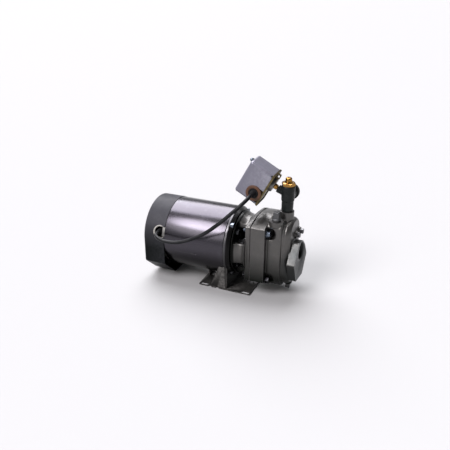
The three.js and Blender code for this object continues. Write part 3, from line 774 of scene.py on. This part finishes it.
def under_cover(lift):
    """What the rising underside of the end cover leaves out."""
    rise = 9
    low = COVER_BOTTOM + lift
    outline = [
        (low - rise, COVER_LENGTH),
        (low + 1.1 * rise, -1.1 * COVER_LENGTH),
        (low - 60, -1.1 * COVER_LENGTH),
        (low - 60, COVER_LENGTH),
    ]
    return prism(outline, -120, 120, SIDEWAYS)


def cord_notch():
    """The open-ended notch that the lead comes out of."""
    bend = arc((CORD_EXIT.z, NOTCH_MIDDLE), NOTCH_RADIUS, 0, -180, 32)
    outline = bend + [(CORD_EXIT.z - NOTCH_RADIUS, 6), (CORD_EXIT.z + NOTCH_RADIUS, 6)]
    return prism(outline, -110, -60, SIDEWAYS)


def notch_lip():
    """Rounded lip around the notch, lying on the cover's side."""
    reach = NOTCH_RADIUS + 0.9
    bend = arc((NOTCH_MIDDLE, CORD_EXIT.z), reach, 90, 270, 32)
    route = [(-2.2, CORD_EXIT.z + reach)] + bend + [(-2.2, CORD_EXIT.z - reach)]
    radius = COVER_RADIUS - 0.2
    return sweep([Vector((x, -math.sqrt(radius**2 - z**2), z)) for x, z in route], 1.6, 16)


def motor_end_cover():
    """A hollow moulding with the cord's notch in its near side and a hole for each of its screws."""
    wall = 2.4
    side = -58
    outline = cover_outline(COVER_RADIUS, side, COVER_BOTTOM, 32, 7)
    outer = cut(prism(outline, -COVER_LENGTH, -GAP), under_cover(0))
    round_edges(outer, 4.5, 6, lambda middle: middle.x < -COVER_LENGTH + 0.1)
    inside = cover_outline(COVER_RADIUS - wall, side + 1, COVER_BOTTOM + wall, 31, 5)
    hollow = cut(prism(inside, wall - COVER_LENGTH, 5), under_cover(wall))
    screws = [rod(-60, -50, 2.6, y) for y in (-62, 62)]
    cover = join(cut(outer, hollow, cord_notch()), notch_lip())
    finish(cut(cover, *screws), "motor_end_cover")


def end_cover_screws():
    for i in (1, 2):
        node = f"end_cover_screw_{i}"
        middle = local_centre(node)
        head = rod(-COVER_LENGTH - GAP, -COVER_LENGTH - 3, 4.5, middle.y, middle.z)
        round_edges(head, 1.2, 4, lambda at: at.x < -COVER_LENGTH - 2)
        shank = rod(-COVER_LENGTH - 1, -8.5, 2.2, middle.y, middle.z)
        slot = box(-COVER_LENGTH - 4, -COVER_LENGTH - 1.9, -0.5, 0.5, -5, 5)
        slot.data.transform(Matrix.Translation((0, middle.y, middle.z)))
        finish(cut(join(head, shank), slot), node)


THROUGH_BOLTS = local_centres("through_bolt", 4)


def front_end_bell():
    """The ring that closes the shell, with the front bearing's seat and scallops for the bolt heads."""
    outer = local_box("front_end_bell")[1].z
    rim_start = 152.6
    rim_end = local_box("front_end_bell")[1].x
    profile = [
        (138, 10, 0),
        (138, 24, 2),
        (rim_start, 24, 1),
        (rim_start, outer, 1),
        (rim_start + 5.6, outer, 1.2),
        (rim_start + 6.6, outer - 3, 0.6),
        (rim_end, outer - 5, 1),
        (rim_end, 74, 1.5),
        (160, 74, 3),
        (160, 10, 0),
    ]
    bell = turned(rounded(profile, 5), 256)
    tools = [rod(130, 158.3, 17.8)]
    for at in THROUGH_BOLTS:
        tools.append(rod(159, rim_end + 1, 7.6, at.y, at.z))
        tools.append(rod(159, rim_end + 1, 7.6, 1.1 * at.y, 1.1 * at.z))
        tools.append(rod(140, 165, 2.7, at.y, at.z))
    finish(cut(bell, *tools), "front_end_bell")


def through_bolts():
    for i in (1, 2, 3, 4):
        bolt(f"through_bolt_{i}", (159.3, 166.3, 6.4), (-12, 160, 2.4), 20 * i)


# ---- Bracket ----
CASING_BOLTS = local_centres("casing_bolt", 4)
FLANGE_HALF_WIDTH = local_box("casing_gasket")[1].y
FLANGE_TOP_CORNER = 69.5
FLANGE_LOW_CORNER = 65
FLANGE_RISE = 15
ROOF_TOP = 70
SWELL_END = 236  # where the flange's top reaches its full height
SWELL_LENGTH = 41
BRACKET_END = local_box("pump_bracket")[1].x


def flange_outline(station=SWELL_END, inset=0):
    """Section of the bolting flange: upright sides, curved top and bottom, the top rising forwards."""
    back = max(0, (SWELL_END - station) / SWELL_LENGTH)
    top = ROOF_TOP + (FLANGE_TOP_CORNER + FLANGE_RISE - ROOF_TOP) * math.sqrt(1 - back**2)
    half = FLANGE_HALF_WIDTH - inset
    outline = []
    for side, corner, rise in (
        (1, FLANGE_TOP_CORNER, top - FLANGE_TOP_CORNER),
        (-1, FLANGE_LOW_CORNER, FLANGE_RISE),
    ):
        radius = (half**2 + rise**2) / (2 * rise)
        spread = math.degrees(math.asin(half / radius))
        bend = arc((0, corner + rise - radius - inset), radius, 90 - spread, 90 + spread)
        outline += [(side * y, side * z) for y, z in bend]
    return outline


def flange(start, end):
    stations = [start + (end - start) * i / 12 for i in range(13)]
    return loft([(station, flange_outline(station)) for station in stations])


def seam(station):
    """Tool for the fine groove that shows where two flanges meet."""
    inside = flange_outline(station, 1.1)
    return cut(
        box(station - 0.9, station + 0.9, -90, 90, -100, 100),
        prism(inside, station - 2, station + 2),
    )


def bracket_body():
    """The turned part of the bracket, waisted between the motor and the flange, with four windows."""
    window_start = 171
    profile = [
        (160.3, 30),
        (160.3, 70.6),
        (167.4, 70.6),
        (167.4, 76),
        (173, 75),
        (178, 72.6),
        (183, 70.8),
        (187, 70),
        (191, 70),
        (194, 71.2),
        (197, 73),
        (201, 77),
        (201, 12),
        (196, 12),
        (196, 34),
        (190, 62),
        (window_start, 62),
        (window_start, 30),
    ]
    windows = []
    for side in (-1, 1):
        for up in (-1, 1):
            y0, y1 = sorted((34 * side, 90 * side))
            z0, z1 = sorted((24 * up, 90 * up))
            windows.append(box(window_start, 199.5, y0, y1, z0, z1))
    return cut(turned(profile), *windows)


def pump_bracket():
    casting = cast(join(bracket_body(), flange(200, BRACKET_END + 2)), 1.0, 5)
    joint_face = box(BRACKET_END - GAP, 230, -100, 100, -120, 120)
    tools = [joint_face, rod(190, 215, 13), rod(206, 215, 17)]
    tools += [rod(155, 175, 4.4, 42 * y, 42 * z) for y in (-1, 1) for z in (-1, 1)]
    tools += [rod(195, 215, 4.5, at.y, at.z) for at in CASING_BOLTS]
    tools.append(seam(BRACKET_END))
    finish(cut(casting, *tools), "pump_bracket", sharp=50)


def bracket_screws():
    for i in (1, 2, 3, 4):
        bolt(f"bracket_screw_{i}", (171.3, 177, 7), (160.6, 172, 4), 15 * i)


# ---- Pump casing ----
CASING_START = local_box("pump_casing")[0].x
NOSE_FACE = local_box("pump_casing")[1].x
BOSS_TOP = local_box("pump_casing")[1].z
FLANGE_END = 246
BODY_END = 281
TOWER_START = 283
TOWER_END = 297
# Corners (y, z, rounding) of the suction boss, a tilted hexagon with its far upper corner cut off.
NOSE_CORNERS = [
    (-53.7, -12.4, 3),
    (-22, 31.3, 4),
    (12, 26, 9),
    (33, 6, 9),
    (53, -26, 5),
    (22, -67, 6),
    (-32, -62, 4),
]
PORT_Z = 4
PORT_RADIUS = 20.5
PRIMING = local_centre("priming_plug")
PAD_TOP = 84.5
DISCHARGE = local_centre("brass_bushing")
DRAIN = local_centre("drain_plug")
GAUGES = local_centres("gauge_plug", 2)


def upright(half_width, top, bottom, top_radius, bottom_radius, crown=0):
    """Upright rounded section of the casing in front of the flange."""
    corners = [
        (-half_width, bottom, bottom_radius),
        (half_width, bottom, bottom_radius),
        (half_width, top, top_radius),
        (0, top + crown, 40),
        (-half_width, top, top_radius),
    ]
    return rounded(corners, 16)


def bolt_pocket(y, z):
    """Tool for the round-ended recess in the volute around a casing bolt."""
    end = FLANGE_END + 20
    radius = 15
    profile = [(FLANGE_END, 0, 0), (FLANGE_END, radius, 0), (end, radius, 12), (end, 0, 0)]
    return turned(rounded(profile, 8), 96, 1.06 * y, z)


def casing_outside():
    """The rough casting: flange, volute with its bolt pockets, tower, suction nose and bosses."""
    pockets = [bolt_pocket(at.y, at.z) for at in CASING_BOLTS]
    volute = cut(prism(upright(50, 78, -87, 13, 42, 5), FLANGE_END - 1, BODY_END - 1), *pockets)
    volute = cast(volute, 1.2, 30)
    groove = prism(upright(45, 74, -79, 24, 40, 5), BODY_END - 3, TOWER_START + 1)
    tower_sections = [
        (TOWER_START, upright(44, 76, -81, 33, 40, 3)),
        (TOWER_START + 5, upright(44, 77, -81, 33, 40, 3)),
        (TOWER_START + 10, upright(41, 76, -80, 32, 38, 3)),
        (TOWER_END + 1, upright(35, 74, -77, 30, 33, 3)),
    ]
    tower = loft(tower_sections)
    nose = prism(rounded(NOSE_CORNERS, 5), TOWER_END - 1, NOSE_FACE + 2)
    boss = rod(70, BOSS_TOP + 2, 16.5, DISCHARGE.x, 0, UPRIGHT)
    pad = rod(72, PAD_TOP + 2, 17, PRIMING.x, PRIMING.y, UPRIGHT)
    drain_boss = rod(-86, -70, 10, DRAIN.x, 0, UPRIGHT)
    taps = [rod(TOWER_END - 5, 302.5, 9, at.y, at.z) for at in GAUGES]
    rear = flange(CASING_START - 3, FLANGE_END)
    return join(rear, volute, groove, tower, nose, boss, pad, drain_boss, *taps)


def pump_casing():
    """The casting with its machined faces, chambers, ports and bolt holes cut."""
    casting = cast(casing_outside(), 1.0, 5)
    x, y = PRIMING.x, PRIMING.y
    faces = [
        box(200, CASING_START, -100, 100, -120, 120),
        box(NOSE_FACE, 330, -100, 100, -120, 120),
        box(240, 320, -19, 19, BOSS_TOP, BOSS_TOP + 20),
        box(x - 20, x + 13.5, y - 20, y + 20, PAD_TOP, PAD_TOP + 9),
    ]
    mouth = [
        (NOSE_FACE - 2.4, 0),
        (NOSE_FACE - 2.4, PORT_RADIUS - 0.3),
        (NOSE_FACE + 0.1, PORT_RADIUS + 2.2),
        (NOSE_FACE + 0.1, 0),
    ]
    bores = [
        rod(CASING_START - 1, 240, 61.5),
        rod(230, 290, 38, 0, -4),
        threaded(285, NOSE_FACE + 0.5, PORT_RADIUS + 0.6, 0.9, 2.2, 0, PORT_Z),
        turned(mouth, 96, 0, PORT_Z),
        rod(20, BOSS_TOP + 1, 11.5, DISCHARGE.x, 0, UPRIGHT),
        rod(10, PAD_TOP + 1, 9, x, y, UPRIGHT),
        rod(-90, -30, 5, DRAIN.x, 0, UPRIGHT),
    ]
    bores += [rod(292, 305, 4.5, at.y, at.z) for at in GAUGES]
    bores += [rod(205, 250, 4.5, at.y, at.z) for at in CASING_BOLTS]
    bores.append(seam(CASING_START))
    finish(cut(casting, *faces, *bores), "pump_casing", sharp=50)


def casing_bolts():
    for i, at in enumerate(CASING_BOLTS, 1):
        face = FLANGE_END + GAP
        washer = rod(face, face + 1.8, 9.4, at.y, at.z, edge=0.5)
        head = hex_head(face + 1.7, FLANGE_END + 9.5, 8.3, at.y, at.z, turn=11 * i)
        shank = rod(199, face + 1, 4, at.y, at.z)
        tip = threaded(191, 199.1, 4, 0.5, 1.35, at.y, at.z)
        finish(join(washer, head, shank, tip), f"casing_bolt_{i}")


def square_head(x, y, half, bottom, top):
    head = prism(rectangle(x - half, x + half, y - half, y + half, 1.6, 4), bottom, top, UPRIGHT)
    return round_edges(head, 1.1, 3, lambda at: abs(at.z - top) < 0.01)


def pipe_plugs():
    x, y = PRIMING.x, PRIMING.y
    priming = join(
        rod(PAD_TOP - 14, PAD_TOP + 1, 8.6, x, y, UPRIGHT),
        rod(PAD_TOP + GAP, PAD_TOP + 5, 10.1, x, y, UPRIGHT, edge=0.8),
        square_head(x, y, 6.75, PAD_TOP + 4, local_box("priming_plug")[1].z),
    )
    finish(cast(priming, 0.5, 3), "priming_plug", sharp=60)
    low, high = local_box("drain_plug")
    seat = -86
    drain = join(
        rod(seat - 0.5, high.z, 4.6, DRAIN.x, 0, UPRIGHT),
        rod(seat - 5, seat - GAP, 6.1, DRAIN.x, 0, UPRIGHT, edge=0.6),
        prism(rectangle(DRAIN.x - 5, DRAIN.x + 5, -5, 5, 1.2), low.z, seat - 4, UPRIGHT),
    )
    finish(cast(drain, 0.45, 3), "drain_plug", sharp=60)
    for i in (1, 2):
        bolt(f"gauge_plug_{i}", (301.3, 309, 6.6), (294, 302, 4.1), 17 * i)


# ---- Discharge fittings ----
TEE_Z = 135.5
TEE_TOP = 158.6


def along_switch(start, end, radius):
    """A round bar from the middle of the tee towards the switch."""
    bar = rod(start, end, radius, 0, 0, UPRIGHT)
    turn = (SWITCH.to_3x3() * (1 / MM)).to_4x4()
    bar.data.transform(Matrix.Translation((DISCHARGE.x, 0, TEE_Z)) @ turn)
    return bar


def discharge_tee():
    x = DISCHARGE.x
    branch_end = 33

    def post(bottom, top, radius, edge=0):
        return rod(bottom, top, radius, x, 0, UPRIGHT, edge=edge)

    def branch(start, end, radius, edge=0):
        return rod(start, end, radius, TEE_Z, x, SIDEWAYS, edge=edge)

    body = join(
        post(88, 110, 11.2),
        post(99.5, 118, 13.4, 1.5),
        post(110, 150, 13.6),
        post(145, TEE_TOP, 15.8, 1.5),
        post(122, 149, 15, 3),
        branch(0, 24, 14.5, 2),
        branch(23, branch_end, 18.5, 1.5),
        along_switch(0, 27.5, 8.4),
        along_switch(20.5, 27.3, 9.2),
    )
    casting = cast(body, 0.6, 5)
    foot_thread = threaded(86.2, 98, 11.4, 0.6, 1.8, x, 0, UPRIGHT)
    casting = join(casting, foot_thread)
    bores = [
        post(80, 165, 9.3),
        threaded(14, branch_end + 0.4, 13.4, 0.7, 1.8, TEE_Z, x, SIDEWAYS),
        branch(0, 16, 12),
        along_switch(0, 30, 5.3),
    ]
    finish(cut(casting, *bores), "discharge_tee", sharp=50)


def brass_fittings():
    x = DISCHARGE.x
    top = local_box("brass_bushing")[1].z
    seat = TEE_TOP + GAP
    bushing = join(
        hex_head(seat, top, 16, x, 0, UPRIGHT, both=True),
        threaded(146, seat + 0.5, 9, 0.5, 1.4, x, 0, UPRIGHT),
    )
    bushing = cut(bushing, rod(140, top + 1, 5.2, x, 0, UPRIGHT))
    finish(bushing, "brass_bushing")
    crown = local_box("brass_plug")[1].z
    profile = [(158, 0, 0), (158, 4.9, 0.4), (top + GAP, 4.9, 0), (top + GAP, 9, 0.5)]
    profile += [(top + 4, 7.6, 1), (crown, 7.2, 3.4), (crown, 0, 0)]
    plug = turned(rounded(profile, 8), 96, x, 0, UPRIGHT)
    plug = cut(plug, box(x - 10, x + 10, -0.9, 0.9, crown - 3, crown + 2))
    finish(plug, "brass_plug")


# ---- Pressure switch, in the switch frame ----
STEM_X = 12.2
CONDUIT_X = -20.4
CONDUIT_Z = 17
STUD_X = 31
STUD_Y = 4
BASE_DEPTH = 4.5


def lidded(x0, x1, half, radius, start, end, bend):
    """A box with rounded upright edges and a rounded-over top."""
    sections = [(start, rectangle(x0, x1, -half, half, radius, 8))]
    for i in range(9):
        turn = math.radians(90 * i / 8)
        inset = bend * (1 - math.cos(turn))
        outline = rectangle(
            x0 + inset, x1 - inset, inset - half, half - inset, radius - 0.9 * inset, 8
        )
        sections.append((end - bend * (1 - math.sin(turn)), outline))
    return loft(sections, UPRIGHT)


def across_switch(start, end, radius, x=CONDUIT_X, z=CONDUIT_Z, edge=0):
    """A round bar across the switch, about the conduit opening's axis if no other is given."""
    return rod(start, end, radius, z, x, SIDEWAYS, edge=edge)


def switch_base():
    """The switch's sheet steel tray, with an ear at each conduit opening and a tab with a hole."""
    half = COVER_HALF_DEPTH
    tray = cut(
        prism(rectangle(-44, 42.5, -half, half, 2.5), -BASE_DEPTH, 0, UPRIGHT),
        prism(rectangle(-42, 40.5, 2 - half, half - 2, 1.5), -6, -2, UPRIGHT),
    )
    ear_outline = [
        (-1, CONDUIT_X - 18, 0),
        (34, CONDUIT_X - 18, 5),
        (34, CONDUIT_X + 18, 5),
        (-1, CONDUIT_X + 18, 0),
    ]
    ears = []
    for side in (-1, 1):
        y0, y1 = sorted((21.5 * side, 24 * side))
        ear = prism(rounded(ear_outline), y0, y1, SIDEWAYS)
        ears.append(cut(ear, across_switch(y0 - 1, y1 + 1, 11)))
    tab_outline = rounded([(-2, 30, 0), (-13, 30, 3), (-13, 44, 3), (-2, 44, 0)])
    tab = cut(prism(tab_outline, -2, 0.5, SIDEWAYS), across_switch(-5, 5, 3, 37, -8))
    base = join(tray, *ears, tab)
    base = cut(base, rod(-12, 8, 8, STEM_X, 0, UPRIGHT))
    round_edges(base, 0.4, 2)
    finish(base, "switch_base", SWITCH)


def diaphragm_housing():
    profile = [
        (-11.5, 5.3, 0.4),
        (-11.5, 15.5, 1),
        (-9.5, 17, 1),
        (-2.3, 17, 1.2),
        (-2.3, 7, 0),
        (2, 7, 0.8),
        (2, 0, 0),
        (-6, 0, 0),
        (-6, 5.3, 0),
    ]
    housing = turned(rounded(profile, 4), 128, STEM_X, 0, UPRIGHT)
    finish(housing, "diaphragm_housing", SWITCH)
    nipple = join(
        threaded(-27, -18, 4.9, 0.5, 1.3, STEM_X, 0, UPRIGHT),
        hex_head(-19, -12, 6.6, STEM_X, 0, UPRIGHT, turn=10, both=True),
        threaded(-13, -6.3, 4.9, 0.5, 1.3, STEM_X, 0, UPRIGHT),
    )
    nipple = cut(nipple, rod(-30, 0, 2.5, STEM_X, 0, UPRIGHT))
    finish(nipple, "switch_nipple", SWITCH)


def switch_cover():
    wall = 1.4
    half = COVER_HALF_DEPTH
    top = 59
    outer = lidded(-43.5, 42, half, 6.5, GAP, top, 5.5)
    inner = lidded(wall - 43.5, 42 - wall, half - wall, 5.1, -1, top - wall, 4.1)
    opening = join(
        across_switch(-40, 40, 17),
        box(CONDUIT_X - 17, CONDUIT_X + 17, -40, 40, -1, CONDUIT_Z),
    )
    notch = across_switch(-half - 2, -half + 4, 2.2, 38.2, 1.2)
    cover = cut(outer, inner, opening, rod(50, 65, 2.6, STUD_X, STUD_Y, UPRIGHT), notch)
    finish(cover, "switch_cover", SWITCH, 25)


def switch_trim():
    collar = [
        (-28.6, 11.8, 0.8),
        (-28.6, 18.6, 1.6),
        (-26.3, 18.6, 0.4),
        (-26.3, 16.6, 0.1),
        (-24.3, 16.6, 0.4),
        (-24.3, 13.6, 0.4),
        (-26, 11.8, 0.5),
    ]
    fibre = turned(rounded(collar, 5), 128, CONDUIT_Z, CONDUIT_X, SIDEWAYS)
    finish(fibre, "conduit_ring", SWITCH)
    dome = [(63.2, 0), (63.2, 4.3)] + arc((63.7, 0), 4.3, 90, 0, 12)
    dome[-1] = (68, 0)
    nut = join(
        hex_head(59.3, 63.5, 5, STUD_X, STUD_Y, UPRIGHT, turn=12, both=True),
        turned(dome, 64, STUD_X, STUD_Y, UPRIGHT),
    )
    nut = cut(nut, rod(50, 63.6, 2.3, STUD_X, STUD_Y, UPRIGHT))
    finish(nut, "switch_cover_nut", SWITCH)


# ---- Strain reliefs ----
def strain_relief(start, end, thick, thin):
    """Profile of a tapered sleeve with ribs, from its thick end at the housing to its thin end."""
    ribs = 6
    pitch = (end - start) / ribs
    profile = [(start, 0), (start, thick)]
    for i in range(ribs):
        here, there = (thick + (thin - thick) * k / ribs for k in (i, i + 1))
        at = start + i * pitch
        profile.append((at + 0.55 * pitch, here + 0.55 * (there - here)))
        profile.append((at + 0.62 * pitch, there - 0.1))
        profile.append((at + 0.9 * pitch, there - 0.1))
        profile.append((at + pitch, there))
    return profile + [(end, 0)]


def cord_grips():
    """The strain reliefs at the two ends of the lead, at the motor and at the switch."""
    edge = local_box("motor_cord_grip")
    grip = join(
        turned(strain_relief(-61, edge[0].y, 7.2, 5.2), 64, CORD_EXIT.z, CORD_EXIT.x, SIDEWAYS),
        rod(-62, edge[1].y, 6.5, CORD_EXIT.z, CORD_EXIT.x, SIDEWAYS, edge=0.5),
    )
    finish(grip, "motor_cord_grip")
    grip = join(
        across_switch(-28, -18, 10.6),
        across_switch(-29.4, -26, 11.5, edge=0.8),
        turned(strain_relief(-28.5, -44, 8, 5.2), 64, CONDUIT_Z, CONDUIT_X, SIDEWAYS),
    )
    finish(grip, "switch_cord_grip", SWITCH)


# ---- Foot ----
FOOT_STATION = local_centre("foot").x
FOOT_HALF = (local_box("foot")[1].x - local_box("foot")[0].x) / 2
FLOOR = -SHAFT_HEIGHT / MM
SHEET = 3
TONGUE_STATION = 89  # the tongue is bent up out of the plate behind this station
TONGUE_HALF = 15


def through_plate(outline):
    """Tool that cuts an outline right through the foot's plate."""
    return prism(outline, FLOOR - 1, FLOOR + SHEET + 1, UPRIGHT)


def foot_plate():
    """The foot's plate, with its slots, edge notches and the hole that the tongue was bent out of."""
    half = FOOT_HALF
    x0 = FOOT_STATION
    plate = prism(rectangle(x0 - half, x0 + half, -half, half, 1.5), FLOOR, FLOOR + SHEET, UPRIGHT)
    tools = []
    for x in (x0 - 53, x0 + 53):
        for y in (-60, 60):
            tools.append(through_plate(rectangle(x - 10.5, x + 10.5, y - 5, y + 5, 4.99)))
    for x in (x0 - 37, x0 - 18):
        for y in (-half, half):
            tools.append(rod(FLOOR - 1, FLOOR + SHEET + 1, 4, x, y, UPRIGHT))
    opening = rectangle(TONGUE_STATION, TONGUE_STATION + 17, -TONGUE_HALF, TONGUE_HALF, 1)
    return cut(plate, *tools, through_plate(opening))


def foot():
    """The plate, the saddle and tongue that hold the motor, and a leaning gusset on each side."""
    cradle = rod(60, 200, SHELL_RADIUS + 0.8, segments=256)
    low = FLOOR + 1
    saddle = prism([(-63, low), (63, low), (77, -36), (-77, -36)], 151.5, 151.5 + SHEET)
    tongue = box(TONGUE_STATION - SHEET, TONGUE_STATION, -TONGUE_HALF, TONGUE_HALF, low, -78)
    gusset_outline = [(0, 111), (0, 154.5), (69, 161), (69, 141)]
    gussets = []
    for side in (-1, 1):
        y0, y1 = sorted((0, -side * SHEET))
        gusset = prism(gusset_outline, y0, y1, SIDEWAYS)
        lean = Matrix.Rotation(-side * math.atan2(13, 68), 4, "X")
        gusset.data.transform(Matrix.Translation((0, side * 63, low)) @ lean)
        gussets.append(gusset)
    uprights = cut(join(saddle, tongue, *gussets), cradle)
    made = join(foot_plate(), uprights)
    round_edges(made, 0.6, 2)
    finish(made, "foot")


# ---- Pieces inside ----
def carried(node, edge):
    """A copy of a CAD piece with its edges rounded."""
    source = frame["nodes"][node]
    piece = bpy.data.objects.new(node, source.data.copy())
    scene.collection.objects.link(piece)
    piece.data.transform(SHAFT.inverted())
    round_edges(piece, edge, 2, least=40)
    finish(piece, node, sharp=40)


INSIDE = [
    "rear_end_bell", "stator_core", "winding_rear", "winding_front", "motor_shaft", "rotor_core",
    "cooling_fan", "centrifugal_actuator", "rear_bearing", "front_bearing", "terminal_board",
    "start_capacitor", "water_slinger", "casing_gasket", "impeller", "diffuser", "venturi_tube",
    "jet_nozzle", "seal_seat", "seal_head", "spring_stud", "contact_lever", "terminal_block",
    "range_spring",
]

for make in (
    motor_shell, motor_end_cover, end_cover_screws, front_end_bell, through_bolts, pump_bracket,
    bracket_screws, pump_casing, casing_bolts, pipe_plugs, discharge_tee, brass_fittings,
    switch_base, diaphragm_housing, switch_cover, switch_trim, cord_grips, foot,
):
    make()
for inside in INSIDE:
    slender = inside in ("range_spring", "spring_stud")
    carried(inside, 0.1 if slender else 0.35)


# ---- Floor and light ----
def floor():
    shape = bpy.data.meshes.new("floor")
    reach = 40
    corners = [(x, y, 0) for x, y in rectangle(-reach, reach, -reach, reach)]
    shape.from_pydata(corners, [], [(0, 1, 2, 3)])
    made = bpy.data.objects.new("floor", shape)
    scene.collection.objects.link(made)
    pale = bpy.data.materials.new("pale_floor")
    pale.use_nodes = True
    shader = pale.node_tree.nodes["Principled BSDF"]
    shader.inputs["Base Color"].default_value = (0.34, 0.34, 0.34, 1)
    shader.inputs["Roughness"].default_value = 0.9
    shader.inputs["Specular IOR Level"].default_value = 0.1
    shape.materials.append(pale)


def studio_light(name, over, spread, strength, color):
    """A broad, distant light; over is its angle from the near horizon up over the object."""
    lean = -0.36
    over = math.radians(over)
    reach = math.sqrt(1 - lean**2)
    back = Vector((lean, -reach * math.cos(over), reach * math.sin(over)))
    data = bpy.data.lights.new(name, "SUN")
    data.angle = math.radians(spread)
    data.energy = strength
    data.color = color
    made = bpy.data.objects.new(name, data)
    made.rotation_mode = "QUATERNION"
    made.rotation_quaternion = back.to_track_quat("Z", "Y")
    scene.collection.objects.link(made)


def lights():
    studio_light("front_light", 52.5, 30, 3.3, (1.0, 0.96, 1.0))
    studio_light("overhead_light", 117, 56, 7.0, (0.97, 0.96, 1.0))
    studio_light("fill_light", 33, 34, 0.9, (1.0, 0.98, 0.96))
    sky = bpy.data.worlds.new("studio")
    sky.use_nodes = True
    background = sky.node_tree.nodes["Background"]
    background.inputs["Color"].default_value = (0.95, 0.96, 1.0, 1)
    direction = sky.node_tree.nodes.new("ShaderNodeTexCoord").outputs["Generated"]
    split = sky.node_tree.nodes.new("ShaderNodeSeparateXYZ")
    fade = sky.node_tree.nodes.new("ShaderNodeMapRange")
    fade.interpolation_type = "SMOOTHSTEP"
    fade.inputs["From Min"].default_value = 0.10
    fade.inputs["From Max"].default_value = 0.42
    fade.inputs["To Min"].default_value = 0.55
    fade.inputs["To Max"].default_value = 0.1
    sky.node_tree.links.new(direction, split.inputs[0])
    sky.node_tree.links.new(split.outputs["Z"], fade.inputs["Value"])
    sky.node_tree.links.new(fade.outputs[0], background.inputs["Strength"])
    scene.world = sky
    scene.view_settings.view_transform = "Standard"


floor()
lights()
